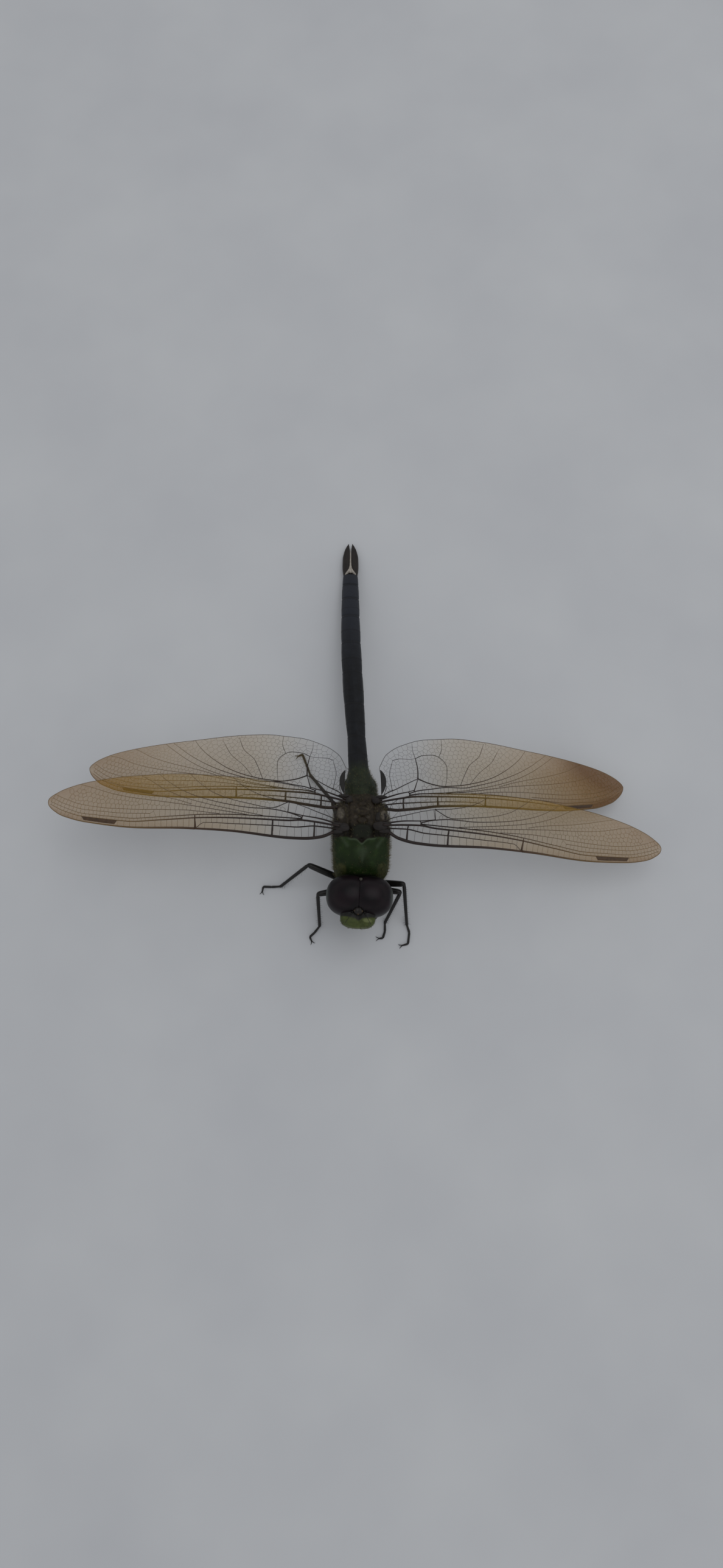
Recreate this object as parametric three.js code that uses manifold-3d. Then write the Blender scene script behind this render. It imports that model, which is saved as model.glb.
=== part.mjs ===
// A resting emperor dragonfly (Anax), life size, in millimetres, +Z up.
// The head looks along -Y, the tail along +Y, and the insect's left wings reach out along +X.
// It stands on six feet and on the end of its abdomen, all level with the floor at Z = 0.
// Places are measured from the point of the floor below the middle of the wing bases;
// the finished model is then moved so that its box is centred on the origin.
import * as THREE from 'three';
import Module from 'manifold-3d';

const wasm = await Module();
wasm.setup();

// ---------------------------------------------------------------- driving dimensions
const boxMiddle = [-0.309, 17.954];   // centre of the whole insect's box, moved to the origin
const clearance = 0.06;             // between neighbouring pieces
const wingThickness = 0.5;
const forewingLength = 46.5;
const hindwingLength = 42.4;
const headCentre = [-0.3, -12.3, 9.8];
const headTurn = 3;                 // degrees, a slight look towards the insect's right
const bodySides = 16;               // facets round the thorax and abdomen
const limbSides = 8;
const floor = 0;

const finishes = {
  eye: { color: 0x1d1512, roughness: 0.25, metalness: 0 },
  face: { color: 0x5f6b35, roughness: 0.5, metalness: 0 },
  dark: { color: 0x2a2418, roughness: 0.5, metalness: 0 },
  thorax: { color: 0x2c4a24, roughness: 0.55, metalness: 0 },
  abdomen: { color: 0x25262d, roughness: 0.5, metalness: 0 },
  tail: { color: 0x3a2c2a, roughness: 0.5, metalness: 0 },
  leg: { color: 0x151413, roughness: 0.4, metalness: 0 },
  wing: { color: 0x958b75, roughness: 0.3, metalness: 0 },
};

const radians = THREE.MathUtils.degToRad;
const signedPower = (value, power) => Math.sign(value) * Math.abs(value) ** power;

// ---------------------------------------------------------------- closed meshes from rings
// Rings are lists of [x, y, z] with equal counts. Each end closes on a tip point.
function skinRings(rings, firstTip = middleOf(rings[0]), lastTip = middleOf(rings.at(-1))) {
  const count = rings[0].length;
  const points = [...rings.flat(), firstTip, lastTip];
  const first = points.length - 2;
  const triangles = [];
  for (let row = 0; row + 1 < rings.length; row++) {
    for (let side = 0; side < count; side++) {
      const a = row * count + side;
      const b = row * count + (side + 1) % count;
      triangles.push([a, b, b + count], [a, b + count, a + count]);
    }
  }
  const lastRow = (rings.length - 1) * count;
  for (let side = 0; side < count; side++) {
    const next = (side + 1) % count;
    triangles.push([first, next, side]);
    triangles.push([first + 1, lastRow + side, lastRow + next]);
  }
  return solidFrom(points, triangles);
}

function middleOf(ring) {
  return [0, 1, 2].map((axis) => ring.reduce((sum, point) => sum + point[axis], 0) / ring.length);
}

// Turns the triangles outward if need be and makes the manifold solid.
function solidFrom(points, triangles) {
  let volume = 0;
  for (const corners of triangles) {
    const [a, b, c] = corners.map((corner) => new THREE.Vector3(...points[corner]));
    volume += a.dot(b.cross(c)) / 6;
  }
  const outward = volume > 0 ? triangles : triangles.map(([a, b, c]) => [a, c, b]);
  return new wasm.Manifold(new wasm.Mesh({
    numProp: 3,
    vertProperties: new Float32Array(points.flat()),
    triVerts: new Uint32Array(outward.flat()),
  }));
}

// ---------------------------------------------------------------- shapes
// Every shape is a function of "grow", so that a neighbour can be cut with a slightly larger copy.

// A rounded block: power 2 is an ellipsoid, higher powers are boxier.
function ovoid(centre, semi, power = 2.3, rows = 7, sides = 12) {
  return (grow) => {
    const rings = [];
    for (let row = 1; row < rows; row++) {
      const rise = Math.PI * (row / rows - 0.5);
      const reach = signedPower(Math.cos(rise), 2 / power);
      rings.push(Array.from({ length: sides }, (_, side) => {
        const turn = 2 * Math.PI * side / sides;
        return [
          centre[0] + (semi[0] + grow) * reach * signedPower(Math.cos(turn), 2 / power),
          centre[1] + (semi[1] + grow) * reach * signedPower(Math.sin(turn), 2 / power),
          centre[2] + (semi[2] + grow) * signedPower(Math.sin(rise), 2 / power),
        ];
      }));
    }
    const bottom = [centre[0], centre[1], centre[2] - semi[2] - grow];
    const top = [centre[0], centre[1], centre[2] + semi[2] + grow];
    return skinRings(rings, bottom, top);
  };
}

// One cross-section of the body. A station is
// { x, y, z, wide, high, lean, top, keel }: centre, half sizes, backward lean of the section
// in degrees, boxiness of its upper half, and how much its lower half narrows.
function bodyRing(station, grow = 0) {
  const { x, y, z, wide, high, lean = 0, top = 2.2, keel = 0 } = station;
  return Array.from({ length: bodySides }, (_, side) => {
    const turn = 2 * Math.PI * side / bodySides;
    const power = Math.sin(turn) > 0 ? top : 2.2;
    const up = signedPower(Math.sin(turn), 2 / power);
    const across = signedPower(Math.cos(turn), 2 / power) * (1 + keel * Math.min(up, 0));
    const rise = (high + grow) * up;
    return [
      x + (wide + grow) * across,
      y + rise * Math.sin(radians(lean)),
      Math.max(z + rise * Math.cos(radians(lean)), floor),
    ];
  });
}

// A length of the body between two neighbours; its ends are drawn in by half the clearance.
function bodyLength(stations) {
  return (grow) => {
    const ends = [clearance / 2 - grow, grow - clearance / 2];
    const moved = stations.map((station, row) => {
      const shift = row === 0 ? ends[0] : row === stations.length - 1 ? ends[1] : 0;
      return bodyRing({ ...station, y: station.y + shift }, grow);
    });
    return skinRings(moved);
  };
}

// A tapering limb through joints [x, y, z, radius], kept above the floor.
function limb(joints) {
  return (grow) => {
    const path = joints.map(([x, y, z]) => new THREE.Vector3(x, y, z));
    const rings = path.map((joint, row) => {
      const before = path[Math.max(row - 1, 0)];
      const after = path[Math.min(row + 1, path.length - 1)];
      const along = after.clone().sub(before).normalize();
      const guide = Math.abs(along.z) > 0.9 ? new THREE.Vector3(0, 1, 0) : new THREE.Vector3(0, 0, 1);
      const across = new THREE.Vector3().crossVectors(along, guide).normalize();
      const upward = new THREE.Vector3().crossVectors(across, along);
      const isEnd = row === 0 ? -1 : row === path.length - 1 ? 1 : 0;
      const centre = joint.clone().addScaledVector(along, isEnd * grow);
      return Array.from({ length: limbSides }, (_, side) => {
        const turn = 2 * Math.PI * (side + 0.5) / limbSides;
        const reach = joints[row][3] + grow;
        const point = centre.clone()
          .addScaledVector(across, reach * Math.cos(turn))
          .addScaledVector(upward, reach * Math.sin(turn));
        return [point.x, point.y, Math.max(point.z, floor)];
      });
    });
    return skinRings(rings);
  };
}

// A shape with a hollow in it; a grown copy has a smaller hollow.
const hollowed = (shape, hollow) => (grow) => shape(grow).subtract(hollow(-grow));

// ---------------------------------------------------------------- pieces
const dragonfly = new THREE.Group();
dragonfly.position.set(-boxMiddle[0], -boxMiddle[1], 0);

// Adds one piece, cut back from grown copies of its neighbours; stray slivers are dropped.
function addPiece(name, finish, shape, neighbours = []) {
  let solid = shape(0);
  for (const neighbour of neighbours) solid = solid.subtract(neighbour(clearance));
  const bodies = solid.decompose().sort((a, b) => b.volume() - a.volume());
  const { vertProperties, triVerts } = bodies[0].getMesh();
  const geometry = new THREE.BufferGeometry();
  geometry.setAttribute('position', new THREE.BufferAttribute(vertProperties, 3));
  geometry.setIndex(new THREE.BufferAttribute(triVerts, 1));
  geometry.computeVertexNormals();
  const mesh = new THREE.Mesh(geometry, new THREE.MeshStandardMaterial(finishes[finish]));
  mesh.name = name;
  dragonfly.add(mesh);
  return shape;
}

// ---------------------------------------------------------------- thorax
// Its sections lean back, because a dragonfly's legs sit well ahead of its wings.
const thoraxX = -0.07;
const shoulderBoxiness = 4.5;
const thoraxStations = [
  { y: -9.35, z: 8.3, wide: 2.7, high: 2.6, lean: 8, top: 2.4 },
  { y: -8.6, z: 8.3, wide: 4.25, high: 4.4, lean: 20, top: 2.8 },
  { y: -6.6, z: 8.6, wide: 4.62, high: 5.5, lean: 27, top: 3.4 },
  { y: -4.2, z: 8.9, wide: 4.68, high: 6.0, lean: 28, top: 4 },
  { y: -1.8, z: 9.2, wide: 4.62, high: 5.5, lean: 23, top: shoulderBoxiness },
  { y: 0.6, z: 9.3, wide: 4.35, high: 4.6, lean: 15, top: shoulderBoxiness },
  { y: 2.7, z: 9.1, wide: 3.7, high: 3.75, lean: 7, top: 3.4 },
  { y: 4.2, z: 8.9, wide: 2.8, high: 3.0, lean: 0, top: 2.4 },
].map((station) => ({ x: thoraxX, keel: 0.3, ...station }));
const mesothorax = addPiece('mesothorax', 'thorax', bodyLength(thoraxStations.slice(0, 5)));
const metathorax = addPiece('metathorax', 'thorax', bodyLength(thoraxStations.slice(4)));
const prothorax = addPiece('prothorax', 'dark', bodyLength([
  { x: -0.2, y: -10.9, z: 8.3, wide: 1.5, high: 1.5 },
  { x: -0.2, y: -10.4, z: 8.2, wide: 2.2, high: 2.3 },
  { x: -0.15, y: -9.9, z: 8.2, wide: 2.3, high: 2.4 },
  { x: -0.1, y: -9.45, z: 8.3, wide: 2.1, high: 2.1 },
]), [mesothorax]);

// ---------------------------------------------------------------- abdomen
// Where each segment starts, from the thorax to the tail, with its centre line and half sizes.
const abdomenStations = [
  { y: 4.2, x: -0.05, z: 8.9, wide: 2.75, high: 2.95 },
  { y: 5.5, x: -0.1, z: 8.85, wide: 2.62, high: 2.8 },
  { y: 9.7, x: -0.5, z: 8.3, wide: 1.72, high: 1.85 },
  { y: 15.4, x: -0.85, z: 7.4, wide: 1.58, high: 1.6 },
  { y: 21.6, x: -1.25, z: 6.35, wide: 1.72, high: 1.62 },
  { y: 27.9, x: -1.6, z: 5.25, wide: 1.74, high: 1.6 },
  { y: 33.9, x: -1.85, z: 4.2, wide: 1.7, high: 1.55 },
  { y: 39.3, x: -1.97, z: 3.2, wide: 1.6, high: 1.5 },
  { y: 43.1, x: -2.0, z: 2.4, wide: 1.52, high: 1.42 },
  { y: 46.2, x: -2.02, z: 1.6, wide: 1.45, high: 1.32 },
  { y: 48.4, x: -2.02, z: 1.12, wide: 1.35, high: 1.24 },
];
const segmentCentres = new THREE.CatmullRomCurve3(
  abdomenStations.map(({ x, y, z }) => new THREE.Vector3(x, y, z)));
const segmentSizes = new THREE.CatmullRomCurve3(
  abdomenStations.map(({ y, wide, high }) => new THREE.Vector3(wide, y, high)));
const segmentCount = abdomenStations.length - 1;
const jointDip = 0.04;              // each segment narrows a little towards its ends

function abdomenSection(place) {
  const centre = segmentCentres.getPoint(place / segmentCount);
  const size = segmentSizes.getPoint(place / segmentCount);
  const swell = 1 - jointDip * Math.cos(Math.PI * place) ** 2;
  return {
    x: centre.x, y: centre.y, z: centre.z, wide: size.x * swell, high: size.z * swell, top: 2.3,
  };
}

for (let segment = 0; segment < segmentCount; segment++) {
  const sections = [0, 0.12, 0.5, 0.88, 0.9999].map((part) => abdomenSection(segment + part));
  addPiece(`abdomen_s${segment + 1}`, 'abdomen', bodyLength(sections));
}

// Two leaf-shaped claspers, side by side, with a short plate between their roots.
const tailX = -2.02;
const clasperStart = 48.45;
const clasperLength = 6.7;
for (const [name, side] of [['cercus_right', -1], ['cercus_left', 1]]) {
  const leaf = [0, 0.12, 0.35, 0.6, 0.85, 1].map((part) => ({
    x: tailX + side * (0.34 + 0.5 * Math.sin(Math.PI * Math.min(part * 0.9 + 0.08, 1)) ** 0.8),
    y: clasperStart + clasperLength * part,
    z: 1.3 - 0.75 * part,
    wide: 0.22 + 0.42 * Math.sin(Math.PI * (0.12 + 0.8 * part)),
    high: 0.3,
  }));
  addPiece(name, 'tail', bodyLength(leaf));
}
addPiece('epiproct', 'tail', bodyLength([
  { x: tailX, y: 48.45, z: 0.62, wide: 0.75, high: 0.3 },
  { x: tailX, y: 49.6, z: 0.5, wide: 0.55, high: 0.26 },
  { x: tailX, y: 50.4, z: 0.42, wide: 0.3, high: 0.25 },
]));

// ---------------------------------------------------------------- head
function inHead(x, y, z) {
  const turned = new THREE.Vector3(x, y, z)
    .applyAxisAngle(new THREE.Vector3(0, 0, 1), radians(-headTurn));
  return turned.add(new THREE.Vector3(...headCentre)).toArray();
}
const eyeShape = (side) => ovoid(inHead(side * 1.9, -0.15, 0.2), [3.53, 3.35, 3.75], 2.25, 10, 18);
const besideMiddle = (side) => (grow) => ovoid(
  inHead(side * (10 - 2 * grow), 0, 0), [10, 20, 20], 40, 8, 16)(grow);
const neckHollow = ovoid(inHead(0.1, 3.4, -1.2), [3.0, 2.9, 3.2], 2.2);
const skull = hollowed(ovoid(inHead(0, 0.9, -1.0), [3.4, 2.2, 2.7], 2.2), neckHollow);
addPiece('head', 'dark', skull);
const eyes = [1, -1].map((side) => hollowed(eyeShape(side), neckHollow));
addPiece('eye_left', 'eye', eyes[0], [besideMiddle(-1), skull]);
addPiece('eye_right', 'eye', eyes[1], [besideMiddle(1), skull]);
const behindFace = [...eyes, skull];
const frons = ovoid(inHead(-0.1, -3.3, 0.55), [2.85, 2.15, 1.6], 2.8, 7, 14);
addPiece('frons', 'face', frons, behindFace);
const clypeus = ovoid(inHead(-0.05, -3.2, -1.25), [2.6, 1.95, 1.15], 2.6, 7, 14);
addPiece('clypeus', 'face', clypeus, [...behindFace, frons]);
const labrum = ovoid(inHead(-0.05, -2.8, -2.75), [2.15, 1.6, 1.0], 2.5);
addPiece('labrum', 'face', labrum, [...behindFace, clypeus]);
const jaw = (side) => ovoid(inHead(side * 2.35, -1.9, -2.75), [0.95, 1.5, 1.3], 2.3, 7, 12);
addPiece('mandible_left', 'dark', jaw(1), [...behindFace, clypeus, labrum]);
addPiece('mandible_right', 'dark', jaw(-1), [...behindFace, clypeus, labrum]);
const lowerLip = ovoid(inHead(0, -1.0, -3.7), [2.3, 2.3, 0.8], 2.4);
addPiece('labium', 'face', lowerLip, [...behindFace, labrum, jaw(1), jaw(-1)]);
const vertex = ovoid(inHead(-0.05, -2.85, 2.35), [0.85, 0.7, 0.65], 2.2, 7, 12);
addPiece('vertex', 'dark', vertex, [...behindFace, frons]);
for (const [name, side] of [['antenna_left', 1], ['antenna_right', -1]]) {
  const feeler = limb([
    [...inHead(side * 0.95, -3.0, 2.3), 0.28],
    [...inHead(side * 1.35, -3.8, 2.8), 0.26],
    [...inHead(side * 2.1, -5.1, 3.3), 0.25],
  ]);
  addPiece(name, 'dark', feeler, [...behindFace, frons, vertex]);
}
const neck = limb([[-0.25, -11.9, 8.5, 0.8], [-0.22, -10.93, 8.3, 0.9]]);
addPiece('neck', 'dark', neck, [skull, ...eyes, prothorax]);

// ---------------------------------------------------------------- legs
// Hip, knee, ankle and the points of the foot, each leg as it stands. Feet lie flat on the floor.
const footHeight = 0.22;
const legs = {
  fore_right: { hip: [-1.3, -10.1, 5.2], knee: [-7.24, -11.33, 6.0], ankle: [-7.05, -15.72],
    foot: [[-7.9, -16.8], [-8.71, -17.54], [-8.4, -18.24]] },
  fore_left: { hip: [1.1, -10.1, 5.2], knee: [6.45, -11.1, 6.6], ankle: [3.96, -15.15],
    foot: [[3.96, -16.6], [3.6, -17.75], [2.96, -17.8]] },
  mid_right: { hip: [-1.9, -9.0, 3.9], knee: [-8.81, -6.51, 6.5], ankle: [-13.78, -8.95],
    foot: [[-15.3, -9.0], [-16.75, -8.95], [-16.89, -9.79]] },
  mid_left: { hip: [1.8, -9.0, 3.9], knee: [7.0, -9.9, 7.4], ankle: [7.64, -15.49],
    foot: [[8.07, -16.8], [7.83, -18.7], [6.8, -19.0]] },
  hind_right: { hip: [-1.9, -4.4, 3.3], knee: [-4.8, 4.4, 6.0], ankle: [-8.94, 10.81],
    foot: [[-9.7, 12.9], [-10.38, 14.7], [-11.13, 14.36]] },
  hind_left: { hip: [1.8, -4.4, 3.3], knee: [2.0, 4.9, 4.7], ankle: [0.0, 13.2],
    foot: [[-0.45, 15.3], [-0.85, 17.2], [-1.3, 17.7]] },
};
const thoraxParts = [mesothorax, metathorax, prothorax];

for (const [name, { hip, knee, ankle, foot }] of Object.entries(legs)) {
  const between = (part, from, to) => from.map((start, axis) => start + part * (to[axis] - start));
  const anklePoint = [...ankle, footHeight + 0.2];
  const socket = [hip[0] * 0.75, hip[1] + 0.2, hip[2] + 1.5];
  const coxa = limb([[...socket, 0.85], [...hip, 0.62]]);
  const femur = limb([
    [...between(0.03, hip, knee), 0.5],
    [...between(0.4, hip, knee), 0.52],
    [...knee, 0.4],
  ]);
  const tibia = limb([[...knee, 0.34], [...between(0.25, knee, anklePoint), 0.3], [...anklePoint, 0.27]]);
  const toes = foot.map(([x, y], joint) => [x, y, footHeight, joint === 2 ? 0.24 : 0.26]);
  const tarsus = limb([[...ankle, footHeight, 0.26], ...toes]);
  addPiece(`leg_${name}_coxa`, 'leg', coxa, thoraxParts);
  addPiece(`leg_${name}_femur`, 'leg', femur, [...thoraxParts, coxa, tibia]);
  addPiece(`leg_${name}_tibia`, 'leg', tibia, [tarsus]);
  addPiece(`leg_${name}_tarsus`, 'leg', tarsus);
}

// ---------------------------------------------------------------- wings
// Outlines from root to tip, as parts of the wing's length: [along, towards the tail].
const forewingOutline = {
  front: [[0, 0], [0.04, -0.022], [0.1, -0.034], [0.17, -0.037], [0.35, -0.031], [0.5, -0.036],
    [0.73, -0.053], [0.86, -0.048], [0.94, -0.034], [0.98, -0.014], [0.997, 0.003], [1, 0.013]],
  back: [[0, 0.045], [0.01, 0.1], [0.06, 0.135], [0.18, 0.16], [0.34, 0.17], [0.52, 0.165],
    [0.72, 0.138], [0.86, 0.103], [0.94, 0.07], [0.985, 0.039], [0.998, 0.024], [1, 0.017]],
};
const hindwingOutline = {
  front: [[0, -0.02], [0.05, -0.028], [0.13, -0.025], [0.21, -0.02], [0.3, -0.023], [0.4, -0.03],
    [0.52, -0.043], [0.63, -0.056], [0.74, -0.063], [0.85, -0.06], [0.93, -0.042],
    [0.975, -0.014], [0.996, 0.012], [1, 0.025]],
  back: [[0, 0.03], [0.002, 0.09], [0.0, 0.155], [0.035, 0.207], [0.1, 0.243], [0.2, 0.265],
    [0.3, 0.266], [0.43, 0.248], [0.6, 0.205], [0.76, 0.16], [0.9, 0.108], [0.965, 0.07],
    [0.993, 0.042], [1, 0.029]],
};
const wingRows = 18;
const wingColumns = 5;
const pleatDepth = 0.16;            // folds along the front of the wing
const camber = 0.012;               // rise of the middle of the chord, as part of the length

function wingShape({ outline, length, root, side, lift, sweep, pitch }) {
  const front = new THREE.SplineCurve(outline.front.map(([u, v]) => new THREE.Vector2(u, v)));
  const back = new THREE.SplineCurve(outline.back.map(([u, v]) => new THREE.Vector2(u, v)));
  const along = new THREE.Vector3(
    side * Math.cos(radians(lift)) * Math.cos(radians(sweep)),
    Math.cos(radians(lift)) * Math.sin(radians(sweep)),
    Math.sin(radians(lift)));
  const level = new THREE.Vector3(-side * Math.sin(radians(sweep)), Math.cos(radians(sweep)), 0);
  const upright = new THREE.Vector3().crossVectors(along, level).multiplyScalar(side);
  const chord = level.clone().multiplyScalar(Math.cos(radians(pitch)))
    .addScaledVector(upright, -Math.sin(radians(pitch)));
  const normal = new THREE.Vector3().crossVectors(along, chord).multiplyScalar(side);
  return () => {
    const points = [];
    for (let row = 0; row <= wingRows; row++) {
      const step = row / wingRows;
      const reach = step - 0.1 * Math.sin(2 * Math.PI * step);   // closer rows at both ends
      const atFront = front.getPointAt(reach);
      const atBack = back.getPointAt(reach);
      for (let column = 0; column <= wingColumns; column++) {
        const part = (column / wingColumns) ** 1.3;
        const u = THREE.MathUtils.lerp(atFront.x, atBack.x, part) * length;
        const v = THREE.MathUtils.lerp(atFront.y, atBack.y, part) * length;
        const fade = 1 - reach ** 4;
        const pleat = column < 4 ? pleatDepth * fade * (column % 2 ? 1 : -1) : 0;
        const rise = camber * length * Math.sin(Math.PI * part) * fade + pleat;
        for (const face of [1, -1]) {
          points.push(new THREE.Vector3(...root).addScaledVector(along, u)
            .addScaledVector(chord, v).addScaledVector(normal, rise + face * wingThickness / 2));
        }
      }
    }
    const at = (row, column, face) => 2 * (row * (wingColumns + 1) + column) + face;
    const triangles = [];
    const quad = (a, b, c, d) => triangles.push([a, b, c], [a, c, d]);
    for (let row = 0; row < wingRows; row++) {
      for (let column = 0; column < wingColumns; column++) {
        quad(at(row, column, 0), at(row + 1, column, 0), at(row + 1, column + 1, 0), at(row, column + 1, 0));
        quad(at(row, column, 1), at(row, column + 1, 1), at(row + 1, column + 1, 1), at(row + 1, column, 1));
      }
      quad(at(row, 0, 0), at(row, 0, 1), at(row + 1, 0, 1), at(row + 1, 0, 0));
      quad(at(row, wingColumns, 0), at(row + 1, wingColumns, 0),
        at(row + 1, wingColumns, 1), at(row, wingColumns, 1));
    }
    for (let column = 0; column < wingColumns; column++) {
      quad(at(0, column, 0), at(0, column + 1, 0), at(0, column + 1, 1), at(0, column, 1));
      quad(at(wingRows, column, 0), at(wingRows, column, 1),
        at(wingRows, column + 1, 1), at(wingRows, column + 1, 0));
    }
    return solidFrom(points.map((point) => point.toArray()), triangles);
  };
}

// How each wing is held, in degrees: lift of the tip, sweep towards the tail, and pitch,
// which lowers the trailing edge. The left wings droop more than the right ones.
const wings = {
  forewing_right: { outline: forewingOutline, length: forewingLength,
    root: [-4.49, -2.72, 14.1], side: -1, lift: 0, sweep: 5.5, pitch: 6 },
  forewing_left: { outline: forewingOutline, length: forewingLength,
    root: [4.28, -2.72, 14.1], side: 1, lift: -10, sweep: -2, pitch: 6 },
  hindwing_right: { outline: hindwingOutline, length: hindwingLength,
    root: [-3.5, 2.6, 12.4], side: -1, lift: -3, sweep: 7.6, pitch: 12 },
  hindwing_left: { outline: hindwingOutline, length: hindwingLength,
    root: [3.8, 2.35, 12.4], side: 1, lift: -12, sweep: 6, pitch: 6 },
};
for (const [name, wing] of Object.entries(wings)) {
  addPiece(name, 'wing', wingShape(wing), [mesothorax, metathorax]);
}

export default dragonfly;
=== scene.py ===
"""A resting emperor dragonfly, life size, as a museum model: its looks, built round the CAD frame.

Shapes are worked out in millimetres in the CAD program's working frame: the head looks along -Y, the
insect's left is +X, the floor is Z = 0, and Y = 0 lies midway between the fore- and hindwing bases.
placed() turns those points into metres in the shared frame.
"""
import math

import bpy
import numpy as np
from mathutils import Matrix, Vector, geometry


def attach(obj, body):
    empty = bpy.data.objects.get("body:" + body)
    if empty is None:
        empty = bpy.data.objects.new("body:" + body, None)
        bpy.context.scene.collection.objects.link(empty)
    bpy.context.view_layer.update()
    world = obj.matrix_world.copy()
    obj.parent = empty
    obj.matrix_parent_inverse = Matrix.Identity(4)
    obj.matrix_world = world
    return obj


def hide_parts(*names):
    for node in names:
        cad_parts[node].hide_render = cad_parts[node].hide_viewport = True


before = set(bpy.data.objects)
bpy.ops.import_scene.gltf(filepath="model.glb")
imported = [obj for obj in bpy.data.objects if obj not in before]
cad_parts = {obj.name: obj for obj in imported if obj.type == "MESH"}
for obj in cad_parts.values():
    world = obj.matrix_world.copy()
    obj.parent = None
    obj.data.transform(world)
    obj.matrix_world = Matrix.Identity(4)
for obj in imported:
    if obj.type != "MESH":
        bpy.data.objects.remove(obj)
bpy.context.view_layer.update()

# ---------------- driving dimensions, millimetres
METRE = 1000                        # in millimetres
BOX_MIDDLE = (-0.309, 17.954)       # centre of the CAD box in the working frame
THORAX_X = -0.07                    # the middle line of the thorax, and of the end of the abdomen
TAIL_X = -2.02
HEAD_CENTRE = np.array((-0.3, -12.3, 9.8))
HEAD_TURN = math.radians(-3)
BELLY_POWER = 2.2                   # boxiness of the lower half of every cross-section
TUFT_HAIRS = 4                      # hairs in a tuft
HAIR_RADIUS = 0.009
HAIR_SEED = 7
NET_SEED = 20                       # seed of the first wing; the others follow it
FOOT_HEIGHT = 0.22
WING_CAMBER = 0.012                 # rise of the middle of the chord, as part of the wing's length
MEMBRANE = 0.03                     # thickness of the wing membrane
VEIN_SIDES = 8
VEIN_RADII = (0.8, 0.575)           # radii of a vein's two ends, as parts of their listed thickness
ROD_SIDES = 5                       # sides of the short rods of the vein net
UPRIGHT = np.array((0, 0, 1.0))
FACE_SAMPLE = 4000                  # about how many faces are enough to tell a skin's inside


def placed(points):
    """Working millimetres to metres in the shared frame."""
    return (np.asarray(points, float) - (*BOX_MIDDLE, 0)) / METRE


# ---------------- curves and blends
def through(knots, values, at):
    """A smooth curve through points that never overshoots them (monotone cubic)."""
    knots = np.asarray(knots, float)
    values = np.asarray(values, float)
    at = np.clip(np.asarray(at, float), knots[0], knots[-1])
    steps = np.diff(knots)
    slopes = np.diff(values) / steps
    products = slopes[:-1] * slopes[1:]
    sums = np.where(products > 0, slopes[:-1] + slopes[1:], 1)
    tangents = np.concatenate([slopes[:1], np.where(products > 0, 2 * products / sums, 0), slopes[-1:]])
    cell = np.clip(np.searchsorted(knots, at, side="right") - 1, 0, len(steps) - 1)
    step = steps[cell]
    part = (at - knots[cell]) / step
    rest = 1 - part
    return (rest ** 2 * ((1 + 2 * part) * values[cell] + part * step * tangents[cell])
            + part ** 2 * ((1 + 2 * rest) * values[cell + 1] - rest * step * tangents[cell + 1]))


def blend(low, high, value):
    """0 below low, 1 above high, smooth between; low may be the larger one."""
    part = np.clip((np.asarray(value, float) - low) / (high - low), 0, 1)
    return part * part * (3 - 2 * part)


def hump(value, centre, width):
    """A bell of height 1."""
    return np.exp(-((value - centre) / width) ** 2)


def spot(x, y, centre, size):
    """A flat-topped patch of height 1 with soft edges, around centre, with half sizes size."""
    away = ((x - centre[0]) / size[0]) ** 2 + ((y - centre[1]) / size[1]) ** 2
    return blend(1.5, 0.5, away)


def near_line(x, y, line, width):
    """1 on a line of points, falling to 0 away from it as a bell."""
    nearest = np.full(np.shape(x), np.inf)
    for (x0, y0), (x1, y1) in zip(line, line[1:]):
        length = (x1 - x0) ** 2 + (y1 - y0) ** 2
        part = np.clip(((x - x0) * (x1 - x0) + (y - y0) * (y1 - y0)) / length, 0, 1)
        nearest = np.minimum(nearest, np.hypot(x - x0 - part * (x1 - x0), y - y0 - part * (y1 - y0)))
    return hump(nearest, 0, width)


def unit(vectors):
    vectors = np.asarray(vectors, float)
    return vectors / np.maximum(np.linalg.norm(vectors, axis=-1, keepdims=True), 1e-12)


# ---------------- meshes
def closed_skin(rings):
    """A closed skin over rings of points (rows, sides, 3); each end closes on its middle point."""
    rows, sides = rings.shape[:2]
    points = np.vstack([rings.reshape(-1, 3), rings[0].mean(0), rings[-1].mean(0)])
    row, side = (grid.ravel() for grid in np.meshgrid(np.arange(rows - 1), np.arange(sides), indexing="ij"))
    a = row * sides + side
    b = row * sides + (side + 1) % sides
    faces = np.stack([a, b, b + sides, a + sides], 1).tolist()
    last = (rows - 1) * sides
    for side in range(sides):
        following = (side + 1) % sides
        faces.append([rows * sides, following, side])
        faces.append([rows * sides + 1, last + side, last + following])
    return points, faces


def surface_normals(rings, outward_from):
    """Normals of a grid of rings that closes round each ring, pointing away from a line of centres."""
    along = np.gradient(rings, axis=0)
    around = np.roll(rings, -1, axis=1) - np.roll(rings, 1, axis=1)
    normals = unit(np.cross(along, around))
    inward = np.sum(normals * (rings - outward_from), axis=-1, keepdims=True) < 0
    return np.where(inward, -normals, normals)


def merged(parts):
    """Several (points, faces) as one."""
    points = []
    faces = []
    first = 0
    for part_points, part_faces in parts:
        points.append(np.asarray(part_points, float))
        faces.extend([[first + corner for corner in face] for face in part_faces])
        first += len(part_points)
    return np.vstack(points), faces


def turned_outward(points, faces):
    """The faces, reversed if they enclose a negative volume."""
    volume = 0
    for face in faces[::max(1, len(faces) // FACE_SAMPLE)]:
        for second, third in zip(face[1:], face[2:]):
            volume += points[face[0]] @ np.cross(points[second], points[third])
    return faces if volume > 0 else [face[::-1] for face in faces]


def with_ends(marks):
    """Marks on rings, kept within 0 and 1, with one more value for the middle point of each end."""
    kept = {name: np.clip(mark, 0, 1) for name, mark in marks.items()}
    return {name: np.append(mark.ravel(), [mark[0].mean(), mark[-1].mean()]) for name, mark in kept.items()}


def add_object(name, data):
    made = bpy.data.objects.new(name, data)
    bpy.context.scene.collection.objects.link(made)
    return made


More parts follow.
